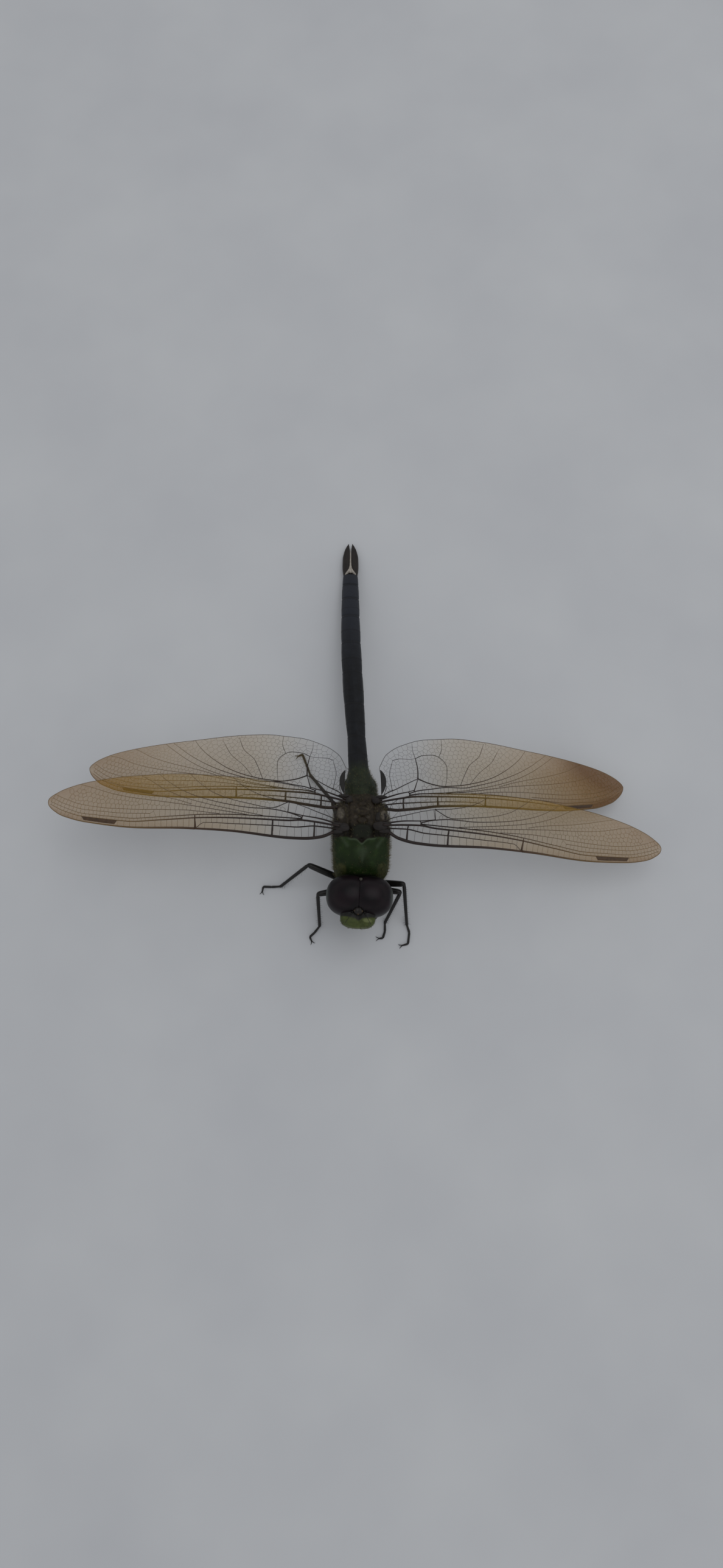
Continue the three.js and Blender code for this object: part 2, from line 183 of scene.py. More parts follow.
def add_piece(name, shape, material, replaces=(), marks=None):
    """One visible piece. marks are numbers for each point, which its material reads by name."""
    points, faces = shape
    centred = points - points.mean(0)
    mesh = bpy.data.meshes.new(name)
    mesh.from_pydata(placed(points).tolist(), [], turned_outward(centred, faces))
    for mark, values in (marks or {}).items():
        layer = mesh.attributes.new(mark, "FLOAT", "POINT")
        layer.data.foreach_set("value", np.asarray(values, np.float32))
    mesh.shade_smooth()
    mesh.materials.append(MATERIALS[material])
    piece = add_object(name, mesh)
    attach(piece, "root")
    if replaces:
        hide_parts(*replaces)
    return piece


def turns_of(sides):
    """Equal turns round a circle."""
    return np.linspace(0, 2 * math.pi, sides, endpoint=False)


def ovoid(semi, power, rows, sides):
    """Rings of a rounded block about the origin: power 2 is an ellipsoid, higher powers are boxier."""
    rise = np.linspace(-math.pi / 2, math.pi / 2, rows + 2)[1:-1, None]
    turn = turns_of(sides)[None]
    directions = np.stack([np.cos(rise) * np.cos(turn), np.cos(rise) * np.sin(turn),
                           np.sin(rise) * np.ones_like(turn)], -1)
    reach = np.sum(np.abs(directions) ** power, -1, keepdims=True) ** (-1 / power)
    return directions * reach * np.asarray(semi)


def tube(path, radii, sides):
    """Rings of a round tube along a path, without twist."""
    path = np.asarray(path, float)
    tangents = unit(np.gradient(path, axis=0))
    guide = UPRIGHT if abs(tangents[0][2]) < 0.9 else np.array((0, 1.0, 0))
    across = unit(np.cross(tangents[0], guide))
    turns = turns_of(sides)[:, None]
    rings = []
    for point, tangent, radius in zip(path, tangents, radii):
        across = unit(across - tangent * (across @ tangent))
        upward = np.cross(across, tangent)
        rings.append(point + radius * (np.cos(turns) * across + np.sin(turns) * upward))
    return np.array(rings)


def rod(knots, stations, rows=24, sides=14):
    """A closed round rod through stations, which are x, y, z and radius at each knot."""
    steps = np.linspace(knots[0], knots[-1], rows)
    x, y, z, radii = (through(knots, column, steps) for column in zip(*stations))
    return closed_skin(tube(np.stack([x, y, z], 1), radii, sides))


def repeated(pattern, count, size):
    """The faces of one shape, for count shapes that have size points each."""
    return [[number * size + corner for corner in face] for number in range(count) for face in pattern]


def cones(roots, tips, radius, sides, bend=0):
    """Many thin closed cones, as (points, faces); bend moves each one's middle."""
    roots, tips = np.asarray(roots, float), np.asarray(tips, float)
    along = unit(tips - roots)
    guide = np.where(np.abs(along[:, 2:]) < 0.9, UPRIGHT, (0, 1.0, 0))
    across = unit(np.cross(along, guide))[:, None]
    upward = np.cross(across[:, 0], along)[:, None]
    turns = turns_of(sides)[None, :, None]
    ring = radius * (np.cos(turns) * across + np.sin(turns) * upward)
    middle = (roots + tips) / 2 + bend
    points = np.concatenate([roots[:, None] + ring, middle[:, None] + ring * 0.7, tips[:, None]], 1)
    pattern = []
    for side in range(sides):
        following = (side + 1) % sides
        pattern.append([side, following, sides + following, sides + side])
        pattern.append([sides + side, sides + following, 2 * sides])
    pattern.append(list(range(sides))[::-1])
    return points.reshape(-1, 3), repeated(pattern, len(roots), 2 * sides + 1)


# ---------------- materials
def colour(code):
    """A linear colour from a six-figure screen colour."""
    parts = [int(code[place:place + 2], 16) / 255 for place in (1, 3, 5)]
    linear = [part / 12.92 if part <= 0.04045 else ((part + 0.055) / 1.055) ** 2.4 for part in parts]
    return (*linear, 1)


class Finish:
    """A procedural material; its methods add nodes and give back their outputs."""

    def __init__(self, name, specular=0.5, ior=1.5, roughness=0.5):
        self.material = bpy.data.materials.new(name)
        self.material.use_nodes = True
        self.tree = self.material.node_tree
        self.shader = self.tree.nodes["Principled BSDF"]
        self.place = self.tree.nodes.new("ShaderNodeTexCoord").outputs["Object"]
        self.shader.inputs["Specular IOR Level"].default_value = specular
        self.shader.inputs["IOR"].default_value = ior
        self.shader.inputs["Roughness"].default_value = roughness

    def node(self, kind, settings=None, **inputs):
        """A new node. An input goes by its socket's name, or by _ and the socket's number."""
        made = self.tree.nodes.new("ShaderNode" + kind)
        for name, value in (settings or {}).items():
            setattr(made, name, value)
        for name, value in inputs.items():
            socket = made.inputs[int(name[1:]) if name[1:].isdigit() else name.replace("_", " ")]
            if isinstance(value, bpy.types.NodeSocket):
                self.tree.links.new(value, socket)
            else:
                socket.default_value = value
        return made

    def noise(self, grain, detail):
        """Noise whose features are about grain millimetres across."""
        made = self.node("TexNoise", Vector=self.place, Scale=METRE / grain, Detail=detail, Roughness=0.55)
        return made.outputs["Fac"]

    def cells(self, size, randomness):
        """Distance from the middle of cells about size millimetres across."""
        made = self.node("TexVoronoi", Vector=self.place, Scale=METRE / size, Randomness=randomness)
        return made.outputs["Distance"]

    def ramp(self, factor, *stops):
        """Colours, or numbers for greys, at places from 0 to 1."""
        made = self.node("ValToRGB", Fac=factor)
        elements = made.color_ramp.elements
        while len(elements) < len(stops):
            elements.new(0.5)
        for element, (place, value) in zip(elements, stops):
            element.position = place
            element.color = colour(value) if isinstance(value, str) else (value, value, value, 1)
        return made.outputs[0]

    def speckle(self, grain, detail, *stops):
        """Colours that follow noise."""
        return self.ramp(self.noise(grain, detail), *stops)

    def mark(self, name):
        return self.node("Attribute", {"attribute_name": name}).outputs["Fac"]

    def paint(self, surface, mark, layer):
        """The surface, with a layer or a plain colour over it where a mark is high."""
        layer = colour(layer) if isinstance(layer, str) else layer
        made = self.node("Mix", {"data_type": "RGBA"}, _0=self.mark(mark), _6=surface, _7=layer)
        return made.outputs[2]

    def varied(self, grain, detail, low, high):
        """A number that wanders between low and high."""
        return self.node("MapRange", Value=self.noise(grain, detail), To_Min=low, To_Max=high).outputs[0]

    def relief(self, *layers):
        """Bump from (height, millimetres) layers."""
        normal = None
        for height, depth in layers:
            inputs = {"Height": height, "Distance": depth / METRE, "Strength": 1.0}
            if normal is not None:
                inputs["Normal"] = normal
            normal = self.node("Bump", **inputs).outputs[0]
        self.tree.links.new(normal, self.shader.inputs["Normal"])

    def use(self, **sockets):
        for name, value in sockets.items():
            self.tree.links.new(value, self.shader.inputs[name.replace("_", " ")])
        return self.material


def thorax_finish():
    finish = Finish("thorax_cuticle", 0.12)
    mottle = finish.speckle(1.6, 4, (0.3, "#101a07"), (0.55, "#17240c"), (0.75, "#223214"))
    olive = finish.speckle(0.8, 3, (0.3, "#2b2b16"), (0.7, "#434324"))
    brown = finish.speckle(0.5, 4, (0.3, "#14100b"), (0.7, "#2e271d"))
    membrane = finish.speckle(0.5, 3, (0.3, "#3f3a33"), (0.7, "#625c52"))
    surface = finish.paint(mottle, "olive", olive)
    surface = finish.paint(surface, "pale", "#434e3d")
    surface = finish.paint(surface, "brown", brown)
    surface = finish.paint(surface, "black", "#0c0b0a")
    surface = finish.paint(surface, "membrane", membrane)
    finish.relief((finish.noise(0.35, 3), 0.03), (finish.noise(0.06, 2), 0.008))
    return finish.use(Base_Color=surface, Roughness=finish.varied(0.7, 2, 0.42, 0.62))


def abdomen_finish():
    finish = Finish("abdomen_cuticle", 0.15)
    dark = finish.speckle(1.3, 4, (0.3, "#0a0b0e"), (0.6, "#111317"), (0.8, "#191b20"))
    green = finish.speckle(0.9, 4, (0.3, "#11170c"), (0.7, "#222918"))
    surface = finish.paint(dark, "dusty", "#22252d")
    surface = finish.paint(surface, "green", green)
    surface = finish.paint(surface, "side", "#36372e")
    surface = finish.paint(surface, "black", "#08080a")
    finish.relief((finish.noise(0.3, 3), 0.02), (finish.cells(0.09, 1.0), 0.006))
    return finish.use(Base_Color=surface, Roughness=finish.varied(0.6, 2, 0.38, 0.55))


def eye_finish():
    finish = Finish("compound_eye", 0.13)
    top = finish.speckle(2.2, 2, (0.35, "#090609"), (0.65, "#140b10"))
    rim = finish.speckle(0.8, 2, (0.3, "#2a312d"), (0.7, "#414a44"))
    surface = finish.paint(top, "rim", rim)
    finish.relief((finish.cells(0.07, 0.25), 0.006))
    return finish.use(Base_Color=surface, Roughness=finish.varied(1.5, 2, 0.3, 0.42))


def face_finish():
    finish = Finish("face_cuticle", 0.25)
    skin = finish.speckle(0.9, 4, (0.3, "#2c3312"), (0.6, "#394218"), (0.8, "#495223"))
    # Pale: the face's own paler yellow-green parts; on the frons this mark also carries a painted highlight
    # on the lobe towards the key light.
    surface = finish.paint(skin, "pale", "#656b44")
    surface = finish.paint(surface, "dark", "#0a0a07")
    finish.relief((finish.noise(0.25, 3), 0.03), (finish.cells(0.12, 1.0), 0.012))
    return finish.use(Base_Color=surface, Roughness=finish.varied(0.5, 2, 0.4, 0.6))


def dark_finish(name, low, high, shine=(0.3, 0.5)):
    """Plain hard skin between two colours; shine is its range of roughness."""
    finish = Finish(name, 0.25)
    surface = finish.speckle(0.5, 4, (0.3, low), (0.7, high))
    finish.relief((finish.noise(0.2, 3), 0.015), (finish.cells(0.08, 1.0), 0.004))
    return finish.use(Base_Color=surface, Roughness=finish.varied(0.4, 2, *shine))


def membrane_finish():
    """Smoky amber film: clear near the body, browner and denser towards the tip."""
    finish = Finish("wing_membrane", 0.1)
    tint = finish.mark("tint")
    cloud = finish.varied(4, 3, -0.03, 0.03)
    depth = finish.node("Math", {"operation": "ADD"}, _0=tint, _1=cloud).outputs[0]
    surface = finish.ramp(depth, (0, "#453a1c"), (0.35, "#987d30"), (0.6, "#95752f"), (0.8, "#8a6624"),
                          (1, "#674415"))
    alpha = finish.ramp(depth, (0.06, 0), (0.2, 0.05), (0.35, 0.13), (0.6, 0.265), (0.8, 0.4), (1, 0.65))
    finish.relief((finish.noise(1.2, 2), 0.03), (finish.noise(0.25, 2), 0.006))
    return finish.use(Base_Color=surface, Alpha=alpha, Roughness=finish.varied(2, 2, 0.3, 0.45))


def vein_finish():
    finish = Finish("wing_vein", 0.25)
    surface = finish.ramp(finish.mark("tint"), (0, "#1b110e"), (0.4, "#3b2a1d"), (1, "#604b2b"))
    return finish.use(Base_Color=surface, Roughness=finish.varied(0.5, 2, 0.4, 0.55))


MATERIALS = {
    "thorax": thorax_finish(),
    "abdomen": abdomen_finish(),
    "eye": eye_finish(),
    "face": face_finish(),
    "dark": dark_finish("dark_cuticle", "#0b0908", "#181310"),
    "plate": dark_finish("wing_plate", "#0b0807", "#19130f", (0.5, 0.65)),
    "leg": dark_finish("leg_cuticle", "#090909", "#171514", (0.3, 0.45)),
    "jaw": dark_finish("jaw_cuticle", "#15130a", "#2a2816"),
    "tail": dark_finish("tail_cuticle", "#0f0c0b", "#1d1614"),
    "lip": dark_finish("lip_cuticle", "#4b4230", "#5f553c", (0.45, 0.6)),
    "pale": dark_finish("pale_skin", "#7f7973", "#9c968d", (0.5, 0.65)),
    "triangle": dark_finish("pale_triangle", "#26241f", "#3d3a34", (0.5, 0.65)),
    "bead": dark_finish("bead_eye", "#2a2013", "#4a3a22", (0.12, 0.2)),
    "stigma": dark_finish("pterostigma", "#33261b", "#4a3726", (0.4, 0.5)),
    "black": dark_finish("black_flap", "#0d0c0c", "#191716", (0.5, 0.6)),
    "hair": dark_finish("fine_hair", "#4d4830", "#6f684a", (0.5, 0.65)),
    "membrane": membrane_finish(),
    "vein": vein_finish(),
}


# ---------------- body skins
def sections(stations, at):
    """Rows of station values, smoothly interpolated at places counted in stations."""
    return [through(range(len(stations)), column, at) for column in zip(*stations)]


def body_rings(turns, x, y, z, wide, high, lean=0, top=BELLY_POWER, keel=0):
    """Cross-sections of the body, as in the CAD: lean backward, boxiness of the top, narrowing below."""
    columns = np.broadcast_arrays(x, y, z, wide, high, lean, top, keel)
    x, y, z, wide, high, lean, top, keel = (column[:, None] for column in columns)
    cosine, sine = np.cos(turns)[None], np.sin(turns)[None]
    power = np.where(sine > 0, top, BELLY_POWER)
    reach = (np.abs(cosine) ** power + np.abs(sine) ** power) ** (-1 / power)
    up = high * sine * reach
    across = cosine * reach * (1 + keel * np.minimum(sine * reach, 0))
    lean = np.radians(lean)
    return np.stack([x + wide * across, y + up * np.sin(lean), z + up * np.cos(lean)], -1)


# x, y, z, half width, half height, backward lean in degrees, boxiness of the top, narrowing below
NECK_STATIONS = [
    (-0.25, -11.9, 8.5, 0.8, 0.8, 0, 2.2, 0),
    (-0.22, -11.0, 8.35, 0.9, 0.9, 0, 2.2, 0),
    (-0.2, -10.85, 8.3, 1.5, 1.5, 0, 2.2, 0),
    (-0.2, -10.4, 8.2, 2.15, 2.25, 0, 2.2, 0),
    (-0.15, -9.9, 8.2, 2.25, 2.35, 0, 2.2, 0),
    (-0.1, -9.55, 8.3, 1.95, 2.0, 0, 2.2, 0),
]
THORAX_STATIONS = [
    (THORAX_X, -9.35, 8.3, 2.7, 2.6, 8, 2.4, 0.3),
    (THORAX_X, -8.6, 8.3, 4.2, 4.35, 20, 2.8, 0.3),
    (THORAX_X, -6.6, 8.6, 4.6, 5.45, 27, 3.4, 0.3),
    (THORAX_X, -4.2, 8.9, 4.66, 5.95, 28, 4, 0.3),
    (THORAX_X, -1.8, 9.2, 4.6, 5.45, 23, 4.5, 0.3),
    (THORAX_X, 0.6, 9.3, 4.33, 4.55, 15, 4.5, 0.3),
    (THORAX_X, 2.7, 9.1, 3.68, 3.7, 7, 3.4, 0.3),
    (THORAX_X, 4.2, 8.9, 2.75, 2.95, 0, 2.4, 0.3),
    (-0.06, 4.6, 8.88, 2.5, 2.7, 0, 2.3, 0),
]


def front_of_back(x, y, z, upper):
    """Ahead of the wings: a keel down the middle, and a ridge across that ends the green part.

    Gives the distance behind the ridge, how far the skin stands out, its pale marks and its streaks.
    """
    side = np.abs(x)
    behind = y + 3.75 + 0.75 * hump(x, 0, 0.6) - 0.25 * blend(1.6, 2.7, side)
    ridge = hump(behind, 0, 0.17) * blend(2.7, 1.9, side) * upper * blend(10.5, 12, z)
    keel = hump(x, 0, 0.13) * blend(-8.6, -7.9, y) * blend(-4.4, -4.9, y) * upper
    wedge = hump(x, 0.05, np.maximum(0.95 * blend(-7.8, -5.2, y), 0.12))
    wedge *= blend(-7.6, -7.0, y) * blend(-4.5, -5.3, y) * upper
    streaks = near_line(x, y, [(-3.35, -3.2), (-2.35, -4.75)], 0.28)
    streaks += near_line(x, y, [(3.5, -3.5), (2.5, -4.85)], 0.28)
    return behind, 0.08 * ridge + 0.1 * keel, 0.5 * ridge + 0.3 * wedge, streaks


def tergum_shape(x, y, tergum, behind):
    """Between the wings: hollows at the sides, and the domes of the scutum and scutellum.

    Gives how far the skin stands out, and where it is soft and pale.
    """
    side = np.abs(x)
    push = -0.5 * tergum * blend(0, 0.8, behind) * blend(3.7, 2.6, side)
    for centre, size, height in (((0.05, -2.5), (1.75, 1.2), 0.55), ((0.1, -0.75), (0.8, 0.5), 0.5),
                                 ((0.15, 0.9), (1.3, 0.9), 0.4), ((0.15, 2.35), (0.7, 0.45), 0.4)):
        push += height * tergum * spot(x, y, centre, size)
    push -= 0.25 * tergum * hump(side, 2.25, 0.3)
    soft = 0.75 * spot(x, y, (-3.5, 0.5), (0.6, 0.95)) + 0.85 * spot(x, y, (3.75, 0.2), (0.6, 0.85))
    for centre in ((-0.85, 1.2), (1.1, 1.25), (-0.9, -0.1), (0.95, -0.1)):
        soft += 0.2 * spot(x, y, centre, (0.35, 0.3))
    return push, soft * tergum


def torso():
    """Neck, prothorax and both winged parts of the thorax under one skin."""
    stations = NECK_STATIONS + THORAX_STATIONS
    first = len(NECK_STATIONS)
    neck_rows, thorax_rows, sides = 60, 230, 220
    places = np.concatenate([np.linspace(0, first, neck_rows, endpoint=False),
                             np.linspace(first, len(stations) - 1, thorax_rows)])
    values = sections(stations, places)
    rings = body_rings(turns_of(sides), *values)
    normals = surface_normals(rings, np.stack(values[:3], -1)[:, None])
    rise = normals[..., 2]
    x, y, z = rings[..., 0] - 0.05, rings[..., 1], rings[..., 2]
    station = (places - first)[:, None] * np.ones_like(x)
    upper = blend(0.25, 0.7, rise)
    thorax = blend(-0.2, 0.3, station)
    side = np.abs(x)

    behind, push, pale, streaks = front_of_back(x, y, z, upper)
    pale += 0.3 * np.clip(streaks * blend(0.1, 0.4, rise) * thorax, 0, 1)
    tergum = blend(0.05, 0.3, behind) * blend(3.5, 3.1, y) * blend(10.6, 11.4, z) * thorax
    raised, membrane = tergum_shape(x, y, tergum, behind)
    push += raised + 0.4 * spot(side, y, (3.8, -2.4), (0.8, 0.8)) * thorax * blend(11, 12.5, z)

    # The side plates meet in grooves that lean back as the sections do.
    grooves = sum(hump(station, place, 0.035) for place in (2.75, 4.35, 5.55))
    grooves *= blend(0.75, 0.35, rise) * thorax * blend(4.6, 5.6, z)
    spiracle = spot(y, z, (-0.2, 8.0), (0.35, 0.6)) * blend(2.5, 3.5, side)
    waves = 0.05 * np.sin(1.7 * y + 0.9 * x) * np.sin(1.3 * x + 0.4) * thorax * (1 - tergum)
    push += waves - 0.13 * grooves - 0.15 * spiracle
    rings = rings + normals * push[..., None]

    corner = spot(side, y, (3.55, -8.2), (1.0, 0.9)) * upper
    middle = spot(x, y, (0.05, -2.5), (1.6, 1.1))
    marks = {
        "pale": pale,
        "olive": np.clip(0.75 * blend(0.62, 0.1, rise) + 0.75 * corner, 0, 1) * thorax,
        "brown": tergum * (1 - 0.75 * middle) + 0.75 * grooves + spiracle + 0.9 * blend(2.5, 3.1, y),
        "black": 0.85 * (1 - thorax) + 0.65 * tergum * blend(-0.9, -1.7, y),
        "membrane": membrane,
    }
    add_piece("torso_skin", closed_skin(rings), "thorax",
              ("neck", "prothorax", "mesothorax", "metathorax"), with_ends(marks))
    hairy = blend(0.4, 1.2, station) * (1 - 0.85 * upper) + 0.5 * tergum * blend(2.0, 3.0, side)
    hairy += 0.45 * blend(1.5, 0.2, station) * thorax
    tufts("thorax_hair", rings, hairy, 2200, 0.6, (0, 0.6, 0))


def tufts(name, rings, chance, count, length, lean):
    """Fine hairs in tufts over a skin, more of them where chance is higher.

    The UV map OFBake puts each tuft on a small patch at its root's place on the skin's unwrap.
    """
    draw = np.random.default_rng(HAIR_SEED)
    rows, sides = rings.shape[:2]
    across = np.gradient(rings, axis=0)
    around = np.roll(rings, -1, axis=1) - rings
    area = np.linalg.norm(np.cross(across, around), axis=-1)
    weight = (np.clip(chance, 0, 1) * area).ravel()
    picked = draw.choice(rows * sides, count, p=weight / weight.sum())
    normals = surface_normals(rings, rings.mean(1, keepdims=True)).reshape(-1, 3)[picked]
    hairs = TUFT_HAIRS * count
    roots = np.repeat(rings.reshape(-1, 3)[picked], TUFT_HAIRS, axis=0) + draw.normal(0, 0.04, (hairs, 3))
    outward = np.repeat(normals, TUFT_HAIRS, axis=0)
    reach = length * draw.uniform(0.6, 1.1, (hairs, 1))
    tips = roots + reach * unit(outward + np.array(lean) + draw.normal(0, 0.3, (hairs, 3)))
    points, faces = cones(roots - 0.03 * outward, tips, HAIR_RADIUS, 3, 0.08 * length * outward)
    points[:, 2] = np.maximum(points[:, 2], 0.02)
    piece = add_piece(name, (points, faces), "hair")
    per_hair = len(points) // hairs
    corner = np.zeros(len(piece.data.loops), int)
    piece.data.loops.foreach_get("vertex_index", corner)
    hair, place = corner // per_hair, corner % per_hair
    tuft = hair // TUFT_HAIRS
    patch = np.stack([place / per_hair, hair % TUFT_HAIRS / TUFT_HAIRS], 1) * 0.003
    home = np.stack([picked // sides / rows, picked % sides / sides], 1) * 0.99
    unwrap = piece.data.uv_layers.new(name="OFBake")
    unwrap.data.foreach_set("uv", (home[tuft] + patch).ravel())


ABDOMEN_STATIONS = [                # x, y, z, half width, half height at the joints
    (-0.05, 4.2, 8.9, 2.75, 2.95), (-0.1, 5.5, 8.85, 2.62, 2.8), (-0.5, 9.7, 8.3, 1.72, 1.85),
    (-0.85, 15.4, 7.4, 1.58, 1.6), (-1.25, 21.6, 6.35, 1.72, 1.62), (-1.6, 27.9, 5.25, 1.74, 1.6),
    (-1.85, 33.9, 4.2, 1.7, 1.55), (-1.97, 39.3, 3.2, 1.6, 1.5), (-2.0, 43.1, 2.4, 1.52, 1.42),
    (-2.02, 46.2, 1.6, 1.45, 1.32), (TAIL_X, 48.4, 1.12, 1.35, 1.24),
]
SEGMENTS = len(ABDOMEN_STATIONS) - 1


def abdomen():
    """Ten segments under one skin, each ending in a raised rim over the next one's narrower neck."""
    segment_rows, sides = 34, 144
    part = np.linspace(0, 1, segment_rows, endpoint=False) ** 0.9
    places = np.append((np.arange(SEGMENTS)[:, None] + part).ravel(), SEGMENTS - 0.001)
    x, y, z, wide, high = sections(ABDOMEN_STATIONS, places)
    joint = np.abs(places - np.round(places))
    swell = 1 - (0.035 - 0.02 * blend(6, 8, places)) * hump(joint, 0, 0.18) * blend(1.2, 3, places)
    bulge = 1 + 0.08 * hump(places, 1.4, 0.35)
    turns = turns_of(sides)
    rings = body_rings(turns, x, y, z, wide * bulge * swell, high * swell, top=2.3)
    normals = surface_normals(rings, np.stack([x, y, z], -1)[:, None])
    place = places[:, None] * np.ones_like(turns)
    part = place % 1
    sine, cosine = np.sin(turns)[None], np.cos(turns)[None]
    inner = blend(1.6, 3.2, place) * blend(9.9, 9.7, place)

    length = (np.gradient(y) / np.gradient(places))[:, None]
    groove = hump(part * length, 0.1, 0.12)
    rim = hump((1 - part) * length, 0.16, 0.12)
    cross_ridge = hump(part, 0.42, 0.02) * blend(1.8, 2.2, place) * blend(7.8, 7.4, place)
    back_keel = hump(cosine, 0, 0.05) * (sine > 0)
    belly_keel = hump(cosine, 0, 0.07) * (sine < 0)
    side_keel = hump(sine, 0.12, 0.05) * blend(3.6, 4.2, place) * blend(9, 8.6, place)
    belly = blend(-0.86, -0.97, sine)
    ear = spot(place, sine, (1.45, 0.0), (0.14, 0.28))
    push = (0.035 * rim - 0.07 * groove - 0.16 * belly) * inner + 0.035 * cross_ridge
    push += 0.045 * back_keel + 0.05 * side_keel + 0.06 * belly_keel + 0.16 * ear
    rings = rings + normals * push[..., None]
    rings[..., 2] = np.maximum(rings[..., 2], 0.0)

    top_green = blend(2.3, 1.7, place) * blend(0.1, 0.5, sine)
    side_spots = spot(part, sine, (0.55, 0.02), (0.3, 0.3))
    side_spots *= blend(1.8, 2.3, place) * blend(9.5, 8.5, place)
    marks = {
        "green": top_green + 0.8 * blend(2.0, 1.4, place),
        "dusty": 0.75 * blend(4.5, 7.5, place),
        "side": 0.45 * side_spots + 0.3 * belly,
        "black": (0.7 * groove + 0.6 * rim) * inner + 0.4 * cross_ridge,
    }
    nodes = [f"abdomen_s{number + 1}" for number in range(SEGMENTS)]
    add_piece("abdomen_skin", closed_skin(rings), "abdomen", nodes, with_ends(marks))
    hairy = blend(2.4, 1.2, place) * blend(0.05, 0.3, place) * (0.3 + 0.7 * blend(0.9, 0.3, sine))
    tufts("abdomen_hair", rings, hairy, 500, 0.45, (0, 0.8, 0))


# ---------------- tail
def clasper(name, side):
    """A leaf-shaped clasper with a rib along it."""
    rows, sides = 70, 36
    part = np.linspace(0, 1, rows)
    turns = turns_of(sides)
    inner = through([0, 0.1, 0.8, 1], [0.3, 0.15, 0.14, 0.3], part)
    outer = through([0, 0.05, 0.3, 0.55, 0.8, 0.94, 1], [1.2, 1.3, 1.46, 1.42, 1.08, 0.66, 0.4], part)
    rings = body_rings(turns, TAIL_X + side * (inner + outer) / 2, 48.3 + 7.05 * part, 1.3 - 0.75 * part,
                       (outer - inner) / 2, 0.32 - 0.2 * blend(0.2, 1.0, part), top=2.0)
    rib = hump(np.cos(turns)[None] + 0.2 * side, 0, 0.14) * (np.sin(turns)[None] > 0)
    rings[..., 2] += 0.14 * rib * np.sin(math.pi * np.clip(part * 1.05, 0, 1))[:, None]
    add_piece(f"{name}_leaf", closed_skin(rings), "tail", [name])


def tail():
    """The two claspers, the short plate below them and the pale skin between their roots."""
    clasper("cercus_right", -1)
    clasper("cercus_left", 1)
    rows, sides = 30, 36
    stations = [(48.3, 0.62, 0.75, 0.3), (49.6, 0.5, 0.55, 0.26), (50.3, 0.42, 0.32, 0.22),
                (50.45, 0.4, 0.12, 0.1)]
    plate = body_rings(turns_of(sides), TAIL_X, *sections(stations, np.linspace(0, 3, rows)))
    add_piece("epiproct_plate", closed_skin(plate), "tail", ["epiproct"])
    arms = [rod([0, 0.3, 0.65, 1],
                [(TAIL_X + side * 1.05, 48.6, 1.3, 0.1), (TAIL_X + side * 0.82, 48.85, 1.5, 0.16),
                 (TAIL_X + side * 0.4, 49.35, 1.5, 0.24), (TAIL_X, 50.2, 1.4, 0.16)])
            for side in (-1, 1)]
    stem = rod([0, 0.15, 0.4, 0.7, 1],
               [(TAIL_X, 49.1, 1.35, 0.3), (TAIL_X, 49.7, 1.4, 0.34), (TAIL_X, 50.9, 1.15, 0.17),
                (TAIL_X, 52.6, 0.86, 0.14), (TAIL_X, 54.4, 0.66, 0.05)])
    add_piece("tail_membrane", merged([*arms, stem]), "pale")


# ---------------- head
def in_head(points):
    """Head coordinates, before its slight turn, to the working frame."""
    x, y, z = np.moveaxis(np.asarray(points, float), -1, 0)
    cosine, sine = math.cos(HEAD_TURN), math.sin(HEAD_TURN)
    return np.stack([x * cosine - y * sine, x * sine + y * cosine, z], -1) + HEAD_CENTRE


def add_to_head(name, shape, material, replaces=(), marks=None):
    points, faces = shape
    add_piece(name, (in_head(points), faces), material, replaces, marks)


def hollow_back(points, size):
    """Presses the back of the head in where the neck and prothorax stand."""
    wide, deep, high = size
    power = 2.2
    x, y, z = np.moveaxis(points, -1, 0)
    away = np.abs((x - 0.1) / wide) ** power + np.abs((z + 1.2) / high) ** power
    bowl = 3.4 - deep * np.clip(1 - away, 0, 1) ** (1 / power)
    limit = np.where((away < 1) & (y > -0.5), bowl, np.inf)
    return np.stack([x, np.minimum(y, limit), z], -1)


def eyes():
    """Two great compound eyes that meet along a seam over the head."""
    seam, softness = 0.004, 0.02
    for name, side in (("eye_left", 1), ("eye_right", -1)):
        rings = ovoid((3.83, 3.35, 3.75), 2.25, 90, 150) + (side * 1.6, -0.15, 0.2)
        reach = side * rings[..., 0] - seam
        outward = seam + 0.5 * (reach + np.sqrt(reach ** 2 + softness ** 2)) - softness * 0.2
        rings[..., 0] = side * outward
        rings = hollow_back(rings, (3.1, 3.05, 3.35))
        y, z = rings[..., 1], rings[..., 2]
        rim = 0.7 * blend(4.75, 5.4, outward) + 0.9 * blend(1.2, -1.8, z)
        rim += 0.5 * blend(2.0, 3.0, y) * blend(2.4, 1.0, z)
        add_to_head(f"compound_{name}", closed_skin(rings), "eye", [name], with_ends({"rim": rim}))


def head_plate(name, centre, semi, power, material, shape, rows=44, sides=80):
    """A hard plate in place of a CAD node: a rounded block, worked over by shape.

    shape takes x, y and z from the middle of the block, and gives the new ones and the marks.
    """
    x, y, z, marks = shape(*np.moveaxis(ovoid(semi, power, rows, sides), -1, 0))
    rings = in_head(np.stack([x, y, z], -1) + np.array(centre))
    add_piece(f"{name}_plate", closed_skin(rings), material, [name], with_ends(marks))
    return rings


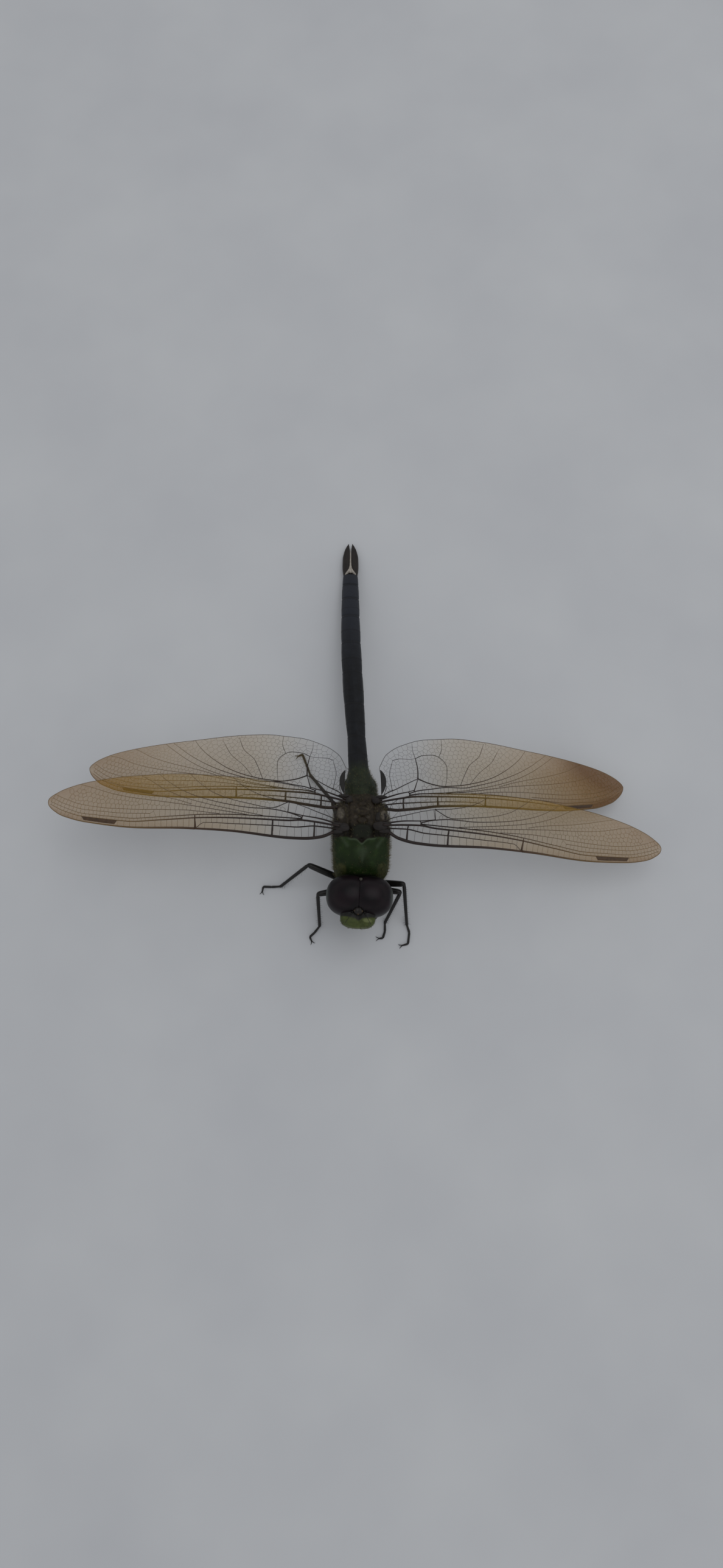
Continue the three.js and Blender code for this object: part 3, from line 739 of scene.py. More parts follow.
def forehead():
    def shape(x, y, z):
        upper = blend(0.2, 0.8, z)
        # Pale marks: a band across the upper front of the frons, which is the face's own paler colour, and
        # a painted highlight on the lobe on the +X side, towards the key light.
        pale_band_and_painted_highlight = spot(x, y, (1.6, -1.0), (0.7, 0.3)) * upper + 0.5 * spot(x, z, (0, 0.6), (2.2, 0.25))
        dark_edge = blend(-0.9, -0.6, y + 0.3 * hump(x, 0.2, 0.5) - 0.12 * np.abs(x)) * upper
        shelf = 0.1 * hump(z, -0.55, 0.3) * blend(0, -1.2, y)
        furrow = 0.16 * hump(x, 0.1, 0.35) * blend(0.3, 1.0, z)
        bumps = 0.12 * hump(np.abs(x), 1.5, 0.7) * blend(0.5, 1.2, z)
        return x, y + shelf, z - furrow + bumps, {"pale": 0.6 * pale_band_and_painted_highlight, "dark": dark_edge}

    rings = head_plate("frons", (-0.1, -3.3, 0.55), (2.85, 2.15, 1.6), 3.1, "face", shape, 60, 100)
    tufts("frons_hair", rings, blend(-15.9, -16.4, rings[..., 1]), 170, 0.24, (0, -0.4, 0.2))


def face_shield():
    def shape(x, y, z):
        groove = 0.14 * hump(z, 0.05, 0.12) * blend(0, -1.0, y)
        marks = {"pale": 0.5 * blend(-0.2, 0.6, z), "dark": 0.8 * blend(-0.75, -1.0, z)}
        return x, y + groove, z, marks

    head_plate("clypeus", (-0.05, -3.2, -1.25), (2.6, 1.95, 1.15), 3.4, "face", shape)


def lips():
    def upper(x, y, z):
        groove = 0.12 * hump(x, 0, 0.2) * blend(0, -1.0, y)
        marks = {"pale": 0.4 * spot(x, z, (0, 0.1), (1.2, 0.5)), "dark": blend(-0.25, -0.7, z)}
        return x, y + groove, z, marks

    def lower(x, y, z):
        grooves = hump(np.abs(x), 0, 0.1) + hump(np.abs(x), 1.15, 0.1)
        return x, y, z + 0.14 * grooves * blend(0, -0.4, z), {}

    head_plate("labrum", (-0.05, -2.8, -2.75), (2.15, 1.6, 1.0), 3.0, "face", upper)
    head_plate("labium", (0, -1.0, -3.7), (2.3, 2.3, 0.8), 2.4, "lip", lower)


def jaws():
    def shape(x, y, z):
        groove = 0.16 * hump(z, -0.35, 0.14) * blend(0, -0.9, y)
        return x * (1 - 0.12 * hump(z, 0.3, 0.5)), y + groove, z, {}

    for name, side in (("mandible_left", 1), ("mandible_right", -1)):
        head_plate(name, (side * 2.35, -1.9, -2.75), (0.9, 1.45, 1.2), 2.7, "jaw", shape)


def skull():
    """The back of the head, and the little pale triangle behind the eyes' seam."""
    rings = ovoid((3.4, 2.2, 2.7), 2.2, 60, 100) + (0, 0.9, -1.0)
    add_to_head("head_capsule", closed_skin(hollow_back(rings, (3.0, 2.9, 3.2))), "dark", ["head"])
    crest = ovoid((0.32, 0.34, 0.28), 2.0, 16, 24)
    crest[..., 0] *= 1 - 0.6 * blend(0.2, -0.3, crest[..., 1])
    add_to_head("occipital_triangle", closed_skin(crest + (0.1, 2.05, 2.95)), "triangle")


def crown():
    """The little raised vertex before the eyes, its three simple eyes, and the two bristle feelers."""
    def shape(x, y, z):
        return x, y, z + 0.1 * hump(np.abs(x), 0.3, 0.18), {}

    head_plate("vertex", (-0.05, -2.85, 2.35), (0.85, 0.7, 0.65), 2.2, "dark", shape, 24, 40)
    beads = [((-0.05, -3.35, 2.6), 0.2), ((-0.62, -2.95, 2.72), 0.17), ((0.52, -2.95, 2.72), 0.17)]
    parts = [closed_skin(ovoid((size, size, size), 2, 12, 20) + centre) for centre, size in beads]
    add_to_head("ocelli", merged(parts), "bead")
    steps = np.linspace(0, 5, 40)
    radii = through([0, 0.9, 1.0, 1.9, 2.0, 5], [0.2, 0.18, 0.13, 0.12, 0.06, 0.025], steps)
    for name, side in (("antenna_left", 1), ("antenna_right", -1)):
        path = sections([(0.9, -2.9, 2.2), (1.05, -3.2, 2.45), (1.2, -3.5, 2.65), (1.5, -4.1, 2.85),
                         (1.85, -4.7, 3.0), (2.1, -5.1, 3.1)], steps)
        bristle = closed_skin(tube(np.stack(path, -1) * (side, 1, 1), radii, 10))
        add_to_head(f"{name}_bristle", bristle, "leg", [name])


# ---------------- legs
# hip, knee, ankle and three points along the foot; the feet all stand at FOOT_HEIGHT
LEGS = {
    "fore_right": ((-1.3, -10.1, 5.2), (-7.24, -11.33, 6.0), (-7.05, -15.72),
                   [(-7.9, -16.8), (-8.71, -17.54), (-8.4, -18.24)]),
    "fore_left": ((1.1, -10.1, 5.2), (6.45, -11.1, 6.6), (3.96, -15.15),
                  [(3.96, -16.6), (3.6, -17.75), (2.96, -17.8)]),
    "mid_right": ((-1.9, -9.0, 3.9), (-8.81, -6.51, 6.5), (-13.78, -8.95),
                  [(-15.3, -9.0), (-16.75, -8.95), (-16.89, -9.79)]),
    "mid_left": ((1.8, -9.0, 3.9), (7.0, -9.9, 7.4), (7.64, -15.49),
                 [(8.07, -16.8), (7.83, -18.7), (6.8, -19.0)]),
    "hind_right": ((-1.9, -4.4, 3.3), (-4.8, 4.4, 6.0), (-8.94, 10.81),
                   [(-9.7, 12.9), (-10.38, 14.7), (-11.13, 14.36)]),
    "hind_left": ((1.8, -4.4, 3.3), (2.0, 4.9, 4.7), (0.0, 13.2),
                  [(-0.45, 15.3), (-0.85, 17.2), (-1.3, 17.7)]),
}


def rounded(joints, bends):
    """A path through joints whose corners are rounded off, and the path length at each joint."""
    joints = np.asarray(joints, float)
    corner_points = 9
    path = [joints[0]]
    for before, corner, after, bend in zip(joints, joints[1:], joints[2:], bends):
        start = corner - unit(corner - before) * bend
        end = corner + unit(after - corner) * bend
        for part in np.linspace(0, 1, corner_points):
            path.append((1 - part) ** 2 * start + 2 * part * (1 - part) * corner + part ** 2 * end)
    path.append(joints[-1])
    path = np.array(path)
    lengths = np.append(0, np.cumsum(np.linalg.norm(np.diff(path, axis=0), axis=1)))
    at_bends = lengths[1 + corner_points // 2::corner_points][:len(bends)]
    return path, lengths, np.concatenate([[0], at_bends, lengths[-1:]])


def along_path(path, lengths, places):
    """Points at places counted along a path."""
    return np.stack([np.interp(places, lengths, column) for column in path.T], -1)


def leg_spines(path, lengths, hip_at, knee_at, ankle_at):
    """Two rows of spines below the femur, and two longer ones below the tibia."""
    roots, tips = [], []
    # from, to, spacing, length, and distance of the roots from the leg's middle
    for start, end, step, reach, width in ((hip_at + 1.6, knee_at - 0.4, 0.55, 0.5, 0.4),
                                           (knee_at + 0.7, ankle_at - 0.1, 0.42, 0.9, 0.24)):
        for number, place in enumerate(np.arange(start, end, step)):
            point, ahead = along_path(path, lengths, [place, place + 0.1])
            along = unit(ahead - point)
            across = unit(np.cross(along, UPRIGHT))
            below = np.cross(along, across)
            below = below if below[2] < 0 else -below
            for side in (-1, 1):
                out = unit(across * side * 0.8 + below * 0.6)
                length = reach * (0.8 + 0.2 * math.sin(number * 2.1 + side))
                roots.append(point + out * width * 0.75)
                tips.append(point + out * (width + length * 0.75) + along * length * 0.75)
    tips = np.array(tips)
    tips[:, 2] = np.maximum(tips[:, 2], 0.05)
    return cones(roots, tips, 0.026, 5)


def leg_claws(before, tip):
    """Two hooked claws that spread from the tip of the foot."""
    along = unit(tip - before)
    across = unit(np.cross(along, UPRIGHT))
    lift = UPRIGHT * 0.04
    claws = []
    for side in (-1, 1):
        root = tip - along * 0.08
        middle = tip + along * 0.35 + across * side * 0.2
        end = tip + along * 0.55 + across * side * 0.42
        path = [root, (root + middle) / 2 + lift, middle, (middle + end) / 2 - lift, end - 3 * lift]
        claws.append(closed_skin(tube(path, [0.08, 0.075, 0.06, 0.04, 0.01], 8)))
    return claws


def leg(name, hip, knee, ankle, foot):
    """One leg under one skin, with its rows of spines and its two claws."""
    socket = (hip[0] * 0.75, hip[1] + 0.2, hip[2] + 1.5)
    joints = [socket, hip, knee, (*ankle, FOOT_HEIGHT + 0.2), *((*point, FOOT_HEIGHT) for point in foot)]
    path, lengths, joints_at = rounded(joints, [0.35, 0.42, 0.3, 0.25, 0.2])
    start, hip_at, knee_at, ankle_at, first_at, second_at, tip_at = joints_at
    radii = [                       # place along the leg, radius
        (start, 0.85), (hip_at - 0.1, 0.68), (hip_at + 0.35, 0.45), (hip_at + 0.7, 0.5),
        (hip_at + 1.0, 0.5), (hip_at * 0.55 + knee_at * 0.45, 0.56), (knee_at - 0.5, 0.48),
        (knee_at - 0.05, 0.4), (knee_at + 0.25, 0.26), (knee_at + 0.6, 0.31), (ankle_at - 0.5, 0.26),
        (ankle_at - 0.05, 0.26), (ankle_at + 0.2, 0.17), (first_at - 0.1, 0.2), (first_at, 0.15),
        (first_at + 0.12, 0.19), (second_at - 0.1, 0.19), (second_at, 0.14), (second_at + 0.1, 0.17),
        (tip_at, 0.12),
    ]
    step, sides = 0.12, 20
    places = np.append(np.arange(0, tip_at, step), tip_at)
    rings = tube(along_path(path, lengths, places), through(*zip(*radii), places), sides)
    rings[..., 2] = np.maximum(rings[..., 2], 0.01)
    claws = leg_claws(*np.array(joints[-2:]))
    spines = leg_spines(path, lengths, hip_at, knee_at, ankle_at)
    points, faces = merged([closed_skin(rings), *claws, spines])
    points[:, 2] = np.maximum(points[:, 2], 0.0)
    nodes = [f"leg_{name}_{part}" for part in ("coxa", "femur", "tibia", "tarsus")]
    add_piece(f"leg_{name}_skin", (points, faces), "leg", nodes)


# ---------------- wings
# Outlines and long veins in thousandths of the wing's length: u from root to tip, v towards the
# tail. Each vein also has its thickness at both ends and how far it stands above the wing's middle
# surface near the root, in millimetres: the wing is pleated along its veins.
# A field of cells lies between a front and a rear vein, from one u to another, in thousandths. Its
# last two numbers are the length and height of a cell in millimetres. ONE_ROW is more than any
# field's height, so such a field gets one row of cells.
ONE_ROW = 9
FOREWING = {
    "length": 46.5, "nodus": 477, "arculus": (112, 28, 45), "stigma": (755, 868), "primaries": (68, 213),
    "front": [(0, 0), (40, -22), (100, -34), (170, -37), (350, -31), (500, -36), (730, -53), (860, -48),
        (940, -34), (980, -14), (997, 3), (1000, 13)],
    "back": [(0, 45), (10, 100), (60, 135), (180, 160), (340, 170), (520, 165), (720, 138), (860, 103),
        (940, 70), (985, 39), (998, 24), (1000, 17)],
    "veins": {
        "subcosta": ([(-20, 12), (62, 14), (134, 4), (214, 2), (323, -3), (450, -10),
            (477, -34)], 0.16, 0.08, -0.28),
        "radius": ([(-20, 19), (62, 26), (112, 28), (163, 22), (269, 18), (353, 14), (463, 4), (600, -17),
            (720, -33), (868, -30), (940, -16), (990, 4)], 0.22, 0.06, 0.12),
        "sector": ([(112, 34), (163, 33), (250, 31), (350, 27), (440, 19), (500, 11), (600, -5),
            (720, -21), (868, -19), (940, -3), (990, 14)], 0.13, 0.045, -0.12),
        "between_1": ([(640, 2), (750, -6), (860, -5), (940, 10), (985, 28)], 0.05, 0.05, 0.03),
        "sector_2": ([(400, 25), (500, 27), (600, 21), (700, 12), (800, 8), (880, 13), (950, 31),
            (980, 43)], 0.06, 0.05, -0.08),
        "between_2": ([(300, 30), (400, 37), (500, 44), (600, 49), (700, 53), (780, 62), (850, 78),
            (910, 90)], 0.07, 0.05, 0.08),
        "supplement": ([(500, 50), (560, 62), (640, 72), (710, 84), (780, 100),
            (830, 112)], 0.05, 0.05, 0.0),
        "sector_4": ([(250, 33), (350, 44), (450, 57), (530, 72), (600, 96), (660, 127),
            (700, 145)], 0.07, 0.05, -0.08),
        "media": ([(112, 38), (165, 52), (227, 58), (300, 56), (380, 62), (460, 74), (530, 94),
            (590, 124), (640, 160)], 0.12, 0.045, 0.1),
        "media_2": ([(164, 92), (227, 63), (300, 71), (370, 82), (430, 100), (480, 130),
            (530, 170)], 0.09, 0.05, -0.06),
        "cubitus": ([(164, 92), (220, 98), (280, 112), (330, 135), (380, 175)], 0.08, 0.05, 0.06),
        "stem": ([(-20, 26), (60, 42), (112, 46), (165, 54)], 0.19, 0.11, -0.15),
        "anal": ([(-20, 34), (20, 50), (60, 62), (110, 78), (164, 92)], 0.1, 0.08, 0.08),
    },
    "fields": [
        ("front", "subcosta", 20, 462, 1.2, ONE_ROW), ("subcosta", "radius", 15, 465, 1.1, ONE_ROW),
        ("front", "radius", 487, 755, 0.95, ONE_ROW), ("front", "radius", 868, 985, 0.7, 0.8),
        ("radius", "sector", 125, 985, 0.95, ONE_ROW), ("sector", "media", 130, 250, 1.0, ONE_ROW),
        ("sector", "sector_4", 260, 300, 0.9, ONE_ROW), ("sector", "between_2", 310, 400, 0.9, ONE_ROW),
        ("sector", "sector_2", 410, 640, 0.8, 0.8), ("sector", "between_1", 650, 985, 0.65, 0.6),
        ("between_1", "sector_2", 650, 985, 0.6, 0.6), ("sector_2", "between_2", 410, 930, 0.7, 0.7),
        ("between_2", "sector_4", 310, 500, 0.8, 0.8), ("between_2", "supplement", 510, 850, 0.65, 0.6),
        ("supplement", "sector_4", 510, 820, 0.65, 0.62), ("sector_4", "media", 260, 680, 0.75, 0.75),
        ("media", "media_2", 170, 620, 0.75, 0.72), ("media_2", "cubitus", 170, 520, 0.75, 0.75),
        ("stem", "anal", 5, 160, 1.3, ONE_ROW), ("anal", "back", 10, 164, 0.9, 0.95),
        ("cubitus", "back", 168, 370, 0.75, 0.75),
    ],
    "lines": [
        ([(165, 54), (164, 92)], 0.1),
    ],
}
HINDWING = {
    "length": 42.4, "nodus": 402, "arculus": (100, 22, 44), "stigma": (730, 846), "primaries": (74, 213),
    "front": [(0, -20), (50, -28), (130, -25), (210, -20), (300, -23), (400, -30), (520, -43), (630, -56),
        (740, -63), (850, -60), (930, -42), (975, -14), (996, 12), (1000, 25)],
    "back": [(0, 155), (35, 207), (100, 243), (200, 265), (300, 266), (430, 248), (600, 205), (760, 160),
        (900, 108), (965, 70), (993, 42), (1000, 29)],
    "veins": {
        "subcosta": ([(-20, -4), (74, 1), (211, 0), (320, -6), (380, -14),
            (402, -30)], 0.16, 0.08, -0.26),
        "radius": ([(-20, 6), (42, 15), (123, 22), (182, 20), (287, 14), (401, 4), (500, -8), (620, -28),
            (730, -45), (846, -44), (930, -26), (980, 2)], 0.22, 0.06, 0.12),
        "sector": ([(100, 30), (150, 34), (250, 29), (350, 22), (450, 12), (550, -2), (650, -19),
            (750, -33), (850, -33), (930, -15), (980, 12)], 0.13, 0.045, -0.12),
        "between_1": ([(600, -3), (700, -14), (800, -20), (900, -9), (980, 26)], 0.05, 0.05, 0.03),
        "sector_2": ([(350, 23), (450, 26), (550, 21), (650, 10), (750, 1), (850, 2), (930, 18),
            (980, 45)], 0.06, 0.05, -0.08),
        "between_2": ([(250, 30), (350, 33), (450, 40), (550, 46), (650, 47), (750, 52), (830, 64),
            (890, 83), (940, 90)], 0.07, 0.05, 0.08),
        "supplement": ([(470, 46), (530, 60), (600, 71), (680, 82), (760, 100), (830, 128),
            (870, 140)], 0.05, 0.05, 0.0),
        "sector_4": ([(210, 32), (300, 36), (366, 41), (420, 48), (478, 58), (550, 76), (620, 105),
            (680, 140), (740, 180)], 0.07, 0.05, -0.08),
        "media": ([(100, 36), (144, 46), (187, 49), (252, 54), (329, 48), (366, 53), (421, 62), (478, 74),
            (550, 97), (620, 130), (680, 168), (720, 195)], 0.12, 0.045, 0.1),
        "media_2": ([(144, 95), (190, 73), (252, 59), (313, 60), (353, 64), (405, 73), (455, 88),
            (482, 100), (530, 127), (580, 165), (620, 210)], 0.13, 0.05, -0.06),
        "stem": ([(-20, 16), (19, 27), (62, 38), (100, 44), (126, 50)], 0.19, 0.12, -0.15),
        "anal": ([(-20, 22), (20, 44), (43, 52), (96, 75), (144, 95)], 0.12, 0.1, 0.08),
    },
    "fields": [
        ("front", "subcosta", 30, 385, 1.35, ONE_ROW), ("subcosta", "radius", 20, 390, 1.2, ONE_ROW),
        ("front", "radius", 412, 730, 0.95, ONE_ROW), ("front", "radius", 846, 980, 0.7, 0.8),
        ("radius", "sector", 115, 980, 0.95, ONE_ROW), ("sector", "media", 120, 210, 1.0, ONE_ROW),
        ("sector", "sector_4", 220, 250, 0.9, ONE_ROW), ("sector", "between_2", 260, 350, 0.9, ONE_ROW),
        ("sector", "sector_2", 360, 600, 0.8, 0.8), ("sector", "between_1", 610, 980, 0.65, 0.6),
        ("between_1", "sector_2", 610, 980, 0.6, 0.6), ("sector_2", "between_2", 360, 950, 0.7, 0.7),
        ("between_2", "sector_4", 260, 470, 0.8, 0.8), ("between_2", "supplement", 480, 900, 0.65, 0.6),
        ("supplement", "sector_4", 480, 860, 0.65, 0.62), ("sector_4", "media", 220, 720, 0.75, 0.75),
        ("media", "media_2", 150, 700, 0.75, 0.72), ("stem", "anal", 0, 125, 1.2, ONE_ROW),
        ("rear_front", "back", 12, 610, 0.85, 0.82),
    ],
    "lines": [                      # the triangle's inner side, the anal loop and the veins round it
        ([(121, 43), (144, 95)], 0.12),
        ([(144, 95), (149, 140), (147, 182)], 0.14),
        ([(54, 178), (79, 184), (130, 180), (147, 182)], 0.06),
        ([(147, 182), (177, 194), (216, 195), (243, 184), (269, 142), (262, 95), (252, 59)], 0.075),
        ([(313, 60), (335, 100), (363, 143), (410, 180), (440, 235)], 0.06),
        ([(243, 184), (262, 220), (268, 262)], 0.05),
        ([(147, 182), (142, 220), (145, 250)], 0.05),
        ([(353, 64), (400, 110), (455, 150), (500, 210)], 0.05),
        ([(0, 36), (12, 65), (12, 90), (3, 118), (-3, 140), (0, 155), (6, 165)], 0.06),
        ([(34, 50), (32, 110), (54, 178)], 0.06),
    ],
}
WINGS = {                           # kind, root, side, lift, sweep and pitch in degrees, smoke at the tip
    "forewing_right": (FOREWING, (-4.49, -2.72, 14.1), -1, 0, 5.5, 6, 0.3),
    "forewing_left": (FOREWING, (4.28, -2.72, 14.1), 1, -10, -2, 6, 0.3),
    "hindwing_right": (HINDWING, (-3.5, 2.6, 12.4), -1, -3, 7.6, 12, 0.3),
    "hindwing_left": (HINDWING, (3.8, 2.35, 12.4), 1, -12, 6, 6, 0.6),
}


def in_parts(thousandths):
    """Thousandths of the wing's length as parts of it."""
    return np.array(thousandths) / 1000


class Wing:
    """The pleated surface of one wing; u and v are parts of the wing's length."""

    def __init__(self, kind, root, side, lift, sweep, pitch, smoke):
        self.kind = kind
        self.smoke = smoke
        self.length = kind["length"]
        self.root = np.array(root)
        self.margins = {name: in_parts(kind[name]) for name in ("front", "back")}
        self.veins = {name: in_parts(points) for name, (points, *_) in kind["veins"].items()}
        lift, sweep, pitch = (math.radians(angle) for angle in (lift, sweep, pitch))
        self.along = np.array((side * math.cos(lift) * math.cos(sweep),
                               math.cos(lift) * math.sin(sweep), math.sin(lift)))
        level = np.array((-side * math.sin(sweep), math.cos(sweep), 0))
        upright = np.cross(self.along, level) * side
        self.chord = level * math.cos(pitch) - upright * math.sin(pitch)
        self.normal = np.cross(self.along, self.chord) * side
        self.relief_u = np.linspace(-0.03, 1, 320)
        self.relief_v = np.linspace(-0.08, 0.28, 240)
        self.relief = self.pleats()

    def edge(self, name, u):
        """v of a margin or a long vein at u; a vein that has reached the rear margin follows it."""
        if name in self.margins:
            return through(*self.margins[name].T, u)
        if name == "rear_front":
            triangle_u = self.veins["anal"][-1, 0]
            return np.where(np.asarray(u) < triangle_u, self.edge("anal", u), self.edge("media_2", u))
        return np.minimum(through(*self.veins[name].T, u), self.edge("back", u))

    def edges_at(self, front, rear, x):
        """How far back two veins lie at x, all in millimetres."""
        return [self.length * self.edge(name, x / self.length) for name in (front, rear)]

    def span(self, name):
        """Where a vein starts, and where it ends or meets the rear margin."""
        first, last = self.veins[name][[0, -1], 0]
        u = np.linspace(first, last, 200)
        met = u[(self.edge(name, u) >= self.edge("back", u) - 0.002) & (u > 0.1)]
        return first, met[0] if len(met) else last

    def pleats(self):
        """Heights of the surface on a grid of u and v: an arch, pleated along the long veins."""
        spans = {name: self.span(name) for name in self.veins}
        folds = np.zeros((len(self.relief_u), len(self.relief_v)))
        for row, u in enumerate(self.relief_u):
            knots = {float(self.edge("front", u)): 0.05, float(self.edge("back", u)): 0.0}
            for name, (*_, height) in self.kind["veins"].items():
                if spans[name][0] <= u <= spans[name][1]:
                    knots[float(self.edge(name, u))] = height
            places = sorted(knots)
            folds[row] = np.interp(self.relief_v, places, [knots[place] for place in places])
        reach = 4
        kernel = np.ones(2 * reach + 1) / (2 * reach + 1)
        padded = np.pad(folds, ((reach, reach), (0, 0)), mode="edge")
        folds = np.array([np.convolve(column, kernel, "valid") for column in padded.T]).T
        u = self.relief_u[:, None]
        front, back = self.edge("front", u), self.edge("back", u)
        part = np.clip((self.relief_v[None] - front) / (back - front), 0, 1)
        arch = WING_CAMBER * self.length * np.sin(math.pi * part) * (1 - np.clip(u, 0, 1) ** 4)
        return arch + folds * (1 - 0.75 * np.clip(u, 0, 1))

    def rise(self, u, v):
        """Height of the surface at (u, v), between the grid's points."""
        places = []
        for value, grid in ((u, self.relief_u), (v, self.relief_v)):
            places.append(np.clip((value - grid[0]) / (grid[1] - grid[0]), 0, len(grid) - 1.001))
        i, j = (place.astype(int) for place in places)
        p, q = places[0] - i, places[1] - j
        grid = self.relief
        return ((1 - p) * ((1 - q) * grid[i, j] + q * grid[i, j + 1])
                + p * ((1 - q) * grid[i + 1, j] + q * grid[i + 1, j + 1]))

    def points(self, u, v, above=0.0):
        """Points in space, some millimetres above the surface."""
        u, v = np.asarray(u, float), np.asarray(v, float)
        height = (self.rise(u, v) + above)[..., None]
        flat = self.root + self.length * (u[..., None] * self.along + v[..., None] * self.chord)
        return flat + height * self.normal

    def tint(self, u, v):
        """How smoky the membrane is: clear at the root, amber outward, brown at the tip."""
        part = np.clip((v - self.edge("front", u)) / (self.edge("back", u) - self.edge("front", u)), 0, 1)
        amber = 0.08 + 0.42 * blend(-0.02, 0.46, u) + 0.12 * blend(0.25, 0.0, part) * blend(0.1, 0.4, u)
        smoke = self.smoke * blend(0.42, 1.04, u) * (0.8 + 0.35 * blend(0.2, 1.0, part))
        return np.clip(amber + smoke, 0, 1)


def field_seeds(wing, front, rear, start, end, step, height, draw):
    """One seed for each cell, row by row, and mirror images of the outer rows beyond the two veins."""
    seeds, mirrors = [], []
    ahead = 0.2
    x = start - step
    while x < end + step:
        top, bottom = wing.edges_at(front, rear, x)
        slope = np.clip((sum(wing.edges_at(front, rear, x + ahead)) - top - bottom) / (2 * ahead), -1, 1)
        tangent = unit(np.array((1, slope)))
        normal = np.array((-tangent[1], tangent[0]))
        width = (bottom - top) * tangent[0]
        rows = max(1, int(round(width / height)))
        pace = step if rows > 1 else min(step, max(width * 1.1, step * 0.55))
        x += pace * tangent[0] * draw.uniform(0.88, 1.12)
        if width < 0.12:
            continue
        middle = np.array((x, (top + bottom) / 2))
        for row in range(rows):
            shift = 0.5 * pace * (row % 2) + draw.uniform(-0.14, 0.14) * pace
            sway = draw.uniform(-0.1, 0.1) * width / rows if rows > 1 else 0
            away = ((row + 0.5) / rows - 0.5) * width + sway
            on_middle = middle + tangent * shift
            seeds.append(on_middle + normal * away)
            if row == 0:
                mirrors.append(on_middle + normal * (-width - away))
            if row == rows - 1:
                mirrors.append(on_middle + normal * (width - away))
    return seeds, mirrors


def seeds_beside(line, seeds):
    """The seeds that are clear of a line, and pairs of new ones that put a border along it."""
    clear = 0.36
    kept = [seed for seed in seeds if near_line(seed[0], seed[1], line, clear) < math.exp(-1)]
    for a, b in zip(line, line[1:]):
        count = max(1, int(round(np.linalg.norm(b - a) / 0.8)))
        away = clear * unit(np.array((a[1] - b[1], b[0] - a[0])))
        for number in range(count):
            place = a + (b - a) * (number + 0.5) / count
            kept += [place + away, place - away]
    return kept


def cells_in_field(wing, field, draw):
    """Cross-veins between two long veins, in millimetres: the borders of cells round seeds.

    A field as narrow as one cell gets plain rungs; a wide one gets a mesh of many-sided cells.
    The corners of the cells are the middles of the circles through three neighbouring seeds.
    """
    front, rear, start, end, step, height = field
    start, end = in_parts((start, end)) * wing.length
    seeds, mirrors = field_seeds(wing, front, rear, start, end, step, height, draw)
    lines = wing.kind["lines"] if front == "rear_front" else []
    for line, _ in lines:
        seeds = seeds_beside(in_parts(line) * wing.length, seeds)
    inside = len(seeds)
    cloud = np.array(seeds + mirrors)
    made = geometry.delaunay_2d_cdt([Vector(point) for point in cloud], [], [], 0, 1e-7)
    original = np.array([origins[0] for origins in made[3]])
    corners = original[np.array([face for face in made[2] if len(face) == 3])]
    x, y = np.moveaxis(cloud[corners], -1, 0)
    across = np.roll(x, -2, 1) - np.roll(x, -1, 1)
    down = np.roll(y, -1, 1) - np.roll(y, -2, 1)
    squares = x ** 2 + y ** 2
    middles = np.stack([np.sum(squares * down, 1), np.sum(squares * across, 1)], 1)
    middles /= 2 * np.sum(x * down, 1)[:, None]

    x, y = middles.T
    top, bottom = wing.edges_at(front, rear, x)
    nearer = np.where(np.abs(y - top) < np.abs(y - bottom), top, bottom)
    y = np.where((corners >= inside).any(1), nearer, y)
    middles = np.stack([x, y], 1)
    kept = (y > top - 0.02) & (y < bottom + 0.02) & (x > start - 0.3) & (x < end + 0.3)
    sides = {}
    for number, triangle in enumerate(corners.tolist()):
        for pair in zip(triangle, triangle[1:] + triangle[:1]):
            sides.setdefault(tuple(sorted(pair)), []).append(number)
    borders = [numbers for pair, numbers in sides.items()
               if pair[1] < inside and len(numbers) == 2 and kept[numbers].all()]
    edges = middles[np.array(borders, int).reshape(-1, 2)]
    lengths = np.linalg.norm(edges[:, 0] - edges[:, 1], axis=1)
    return edges[(lengths > 0.04) & (lengths < 4.5)]


def vein_tube(wing, points, base, tip, step=0.35):
    """A vein through points (u, v), tapering between two thicknesses, and u at each of its points."""
    points = np.array(points, float)
    lengths = np.append(0, np.cumsum(np.linalg.norm(np.diff(points, axis=0), axis=1)))
    count = max(3, int(lengths[-1] * wing.length / step))
    places = np.linspace(0, lengths[-1], count)
    u, v = (through(lengths, column, places) for column in points.T)
    radii = np.linspace(base * VEIN_RADII[0], tip * VEIN_RADII[1], count)
    shape = closed_skin(tube(wing.points(u, v), radii, VEIN_SIDES))
    return shape, np.append(np.repeat(u, VEIN_SIDES), [u[0], u[-1]])


def main_veins(wing):
    """Points, two thicknesses and step of the long veins, the margin and the strong cross-veins."""
    kind = wing.kind
    for vein, (_, base, tip, _) in kind["veins"].items():
        start, end = wing.span(vein)
        u = np.linspace(start, end, int((end - start) * wing.length / 0.4))
        yield np.stack([u, wing.edge(vein, u)], 1), base, tip, 0.4
    nodus = kind["nodus"] / 1000
    u = np.concatenate([np.linspace(0, 0.9, 110), 1 - 0.1 * (1 - np.linspace(0, 1, 30)[1:]) ** 2])
    front, back = (np.stack([u, wing.edge(margin, u)], 1) for margin in wing.margins)
    number = np.searchsorted(u, nodus)
    yield front[:number + 1], 0.34, 0.28, 0.4
    yield np.vstack([front[number:], back[::-1][:6]]), 0.24, 0.07, 0.4
    yield back[::-1][4:], 0.05, 0.07
    below_nodus = (nodus + 0.006, wing.edge("radius", nodus + 0.006))
    yield [(nodus, wing.edge("front", nodus)), below_nodus], 0.22, 0.16
    yield [below_nodus, (nodus + 0.008, wing.edge("sector", nodus + 0.008))], 0.12, 0.12
    for place in in_parts(kind["primaries"]):
        yield [(place - 0.003, wing.edge("front", place)), (place, wing.edge("subcosta", place)),
               (place + 0.001, wing.edge("radius", place))], 0.2, 0.18
    u, top, bottom = in_parts(kind["arculus"])
    yield [(u, top), (u + 0.004, (top + bottom) / 2), (u - 0.001, bottom)], 0.14, 0.14
    for line, width in kind["lines"]:
        yield in_parts(line), width, width * 0.8, 0.3


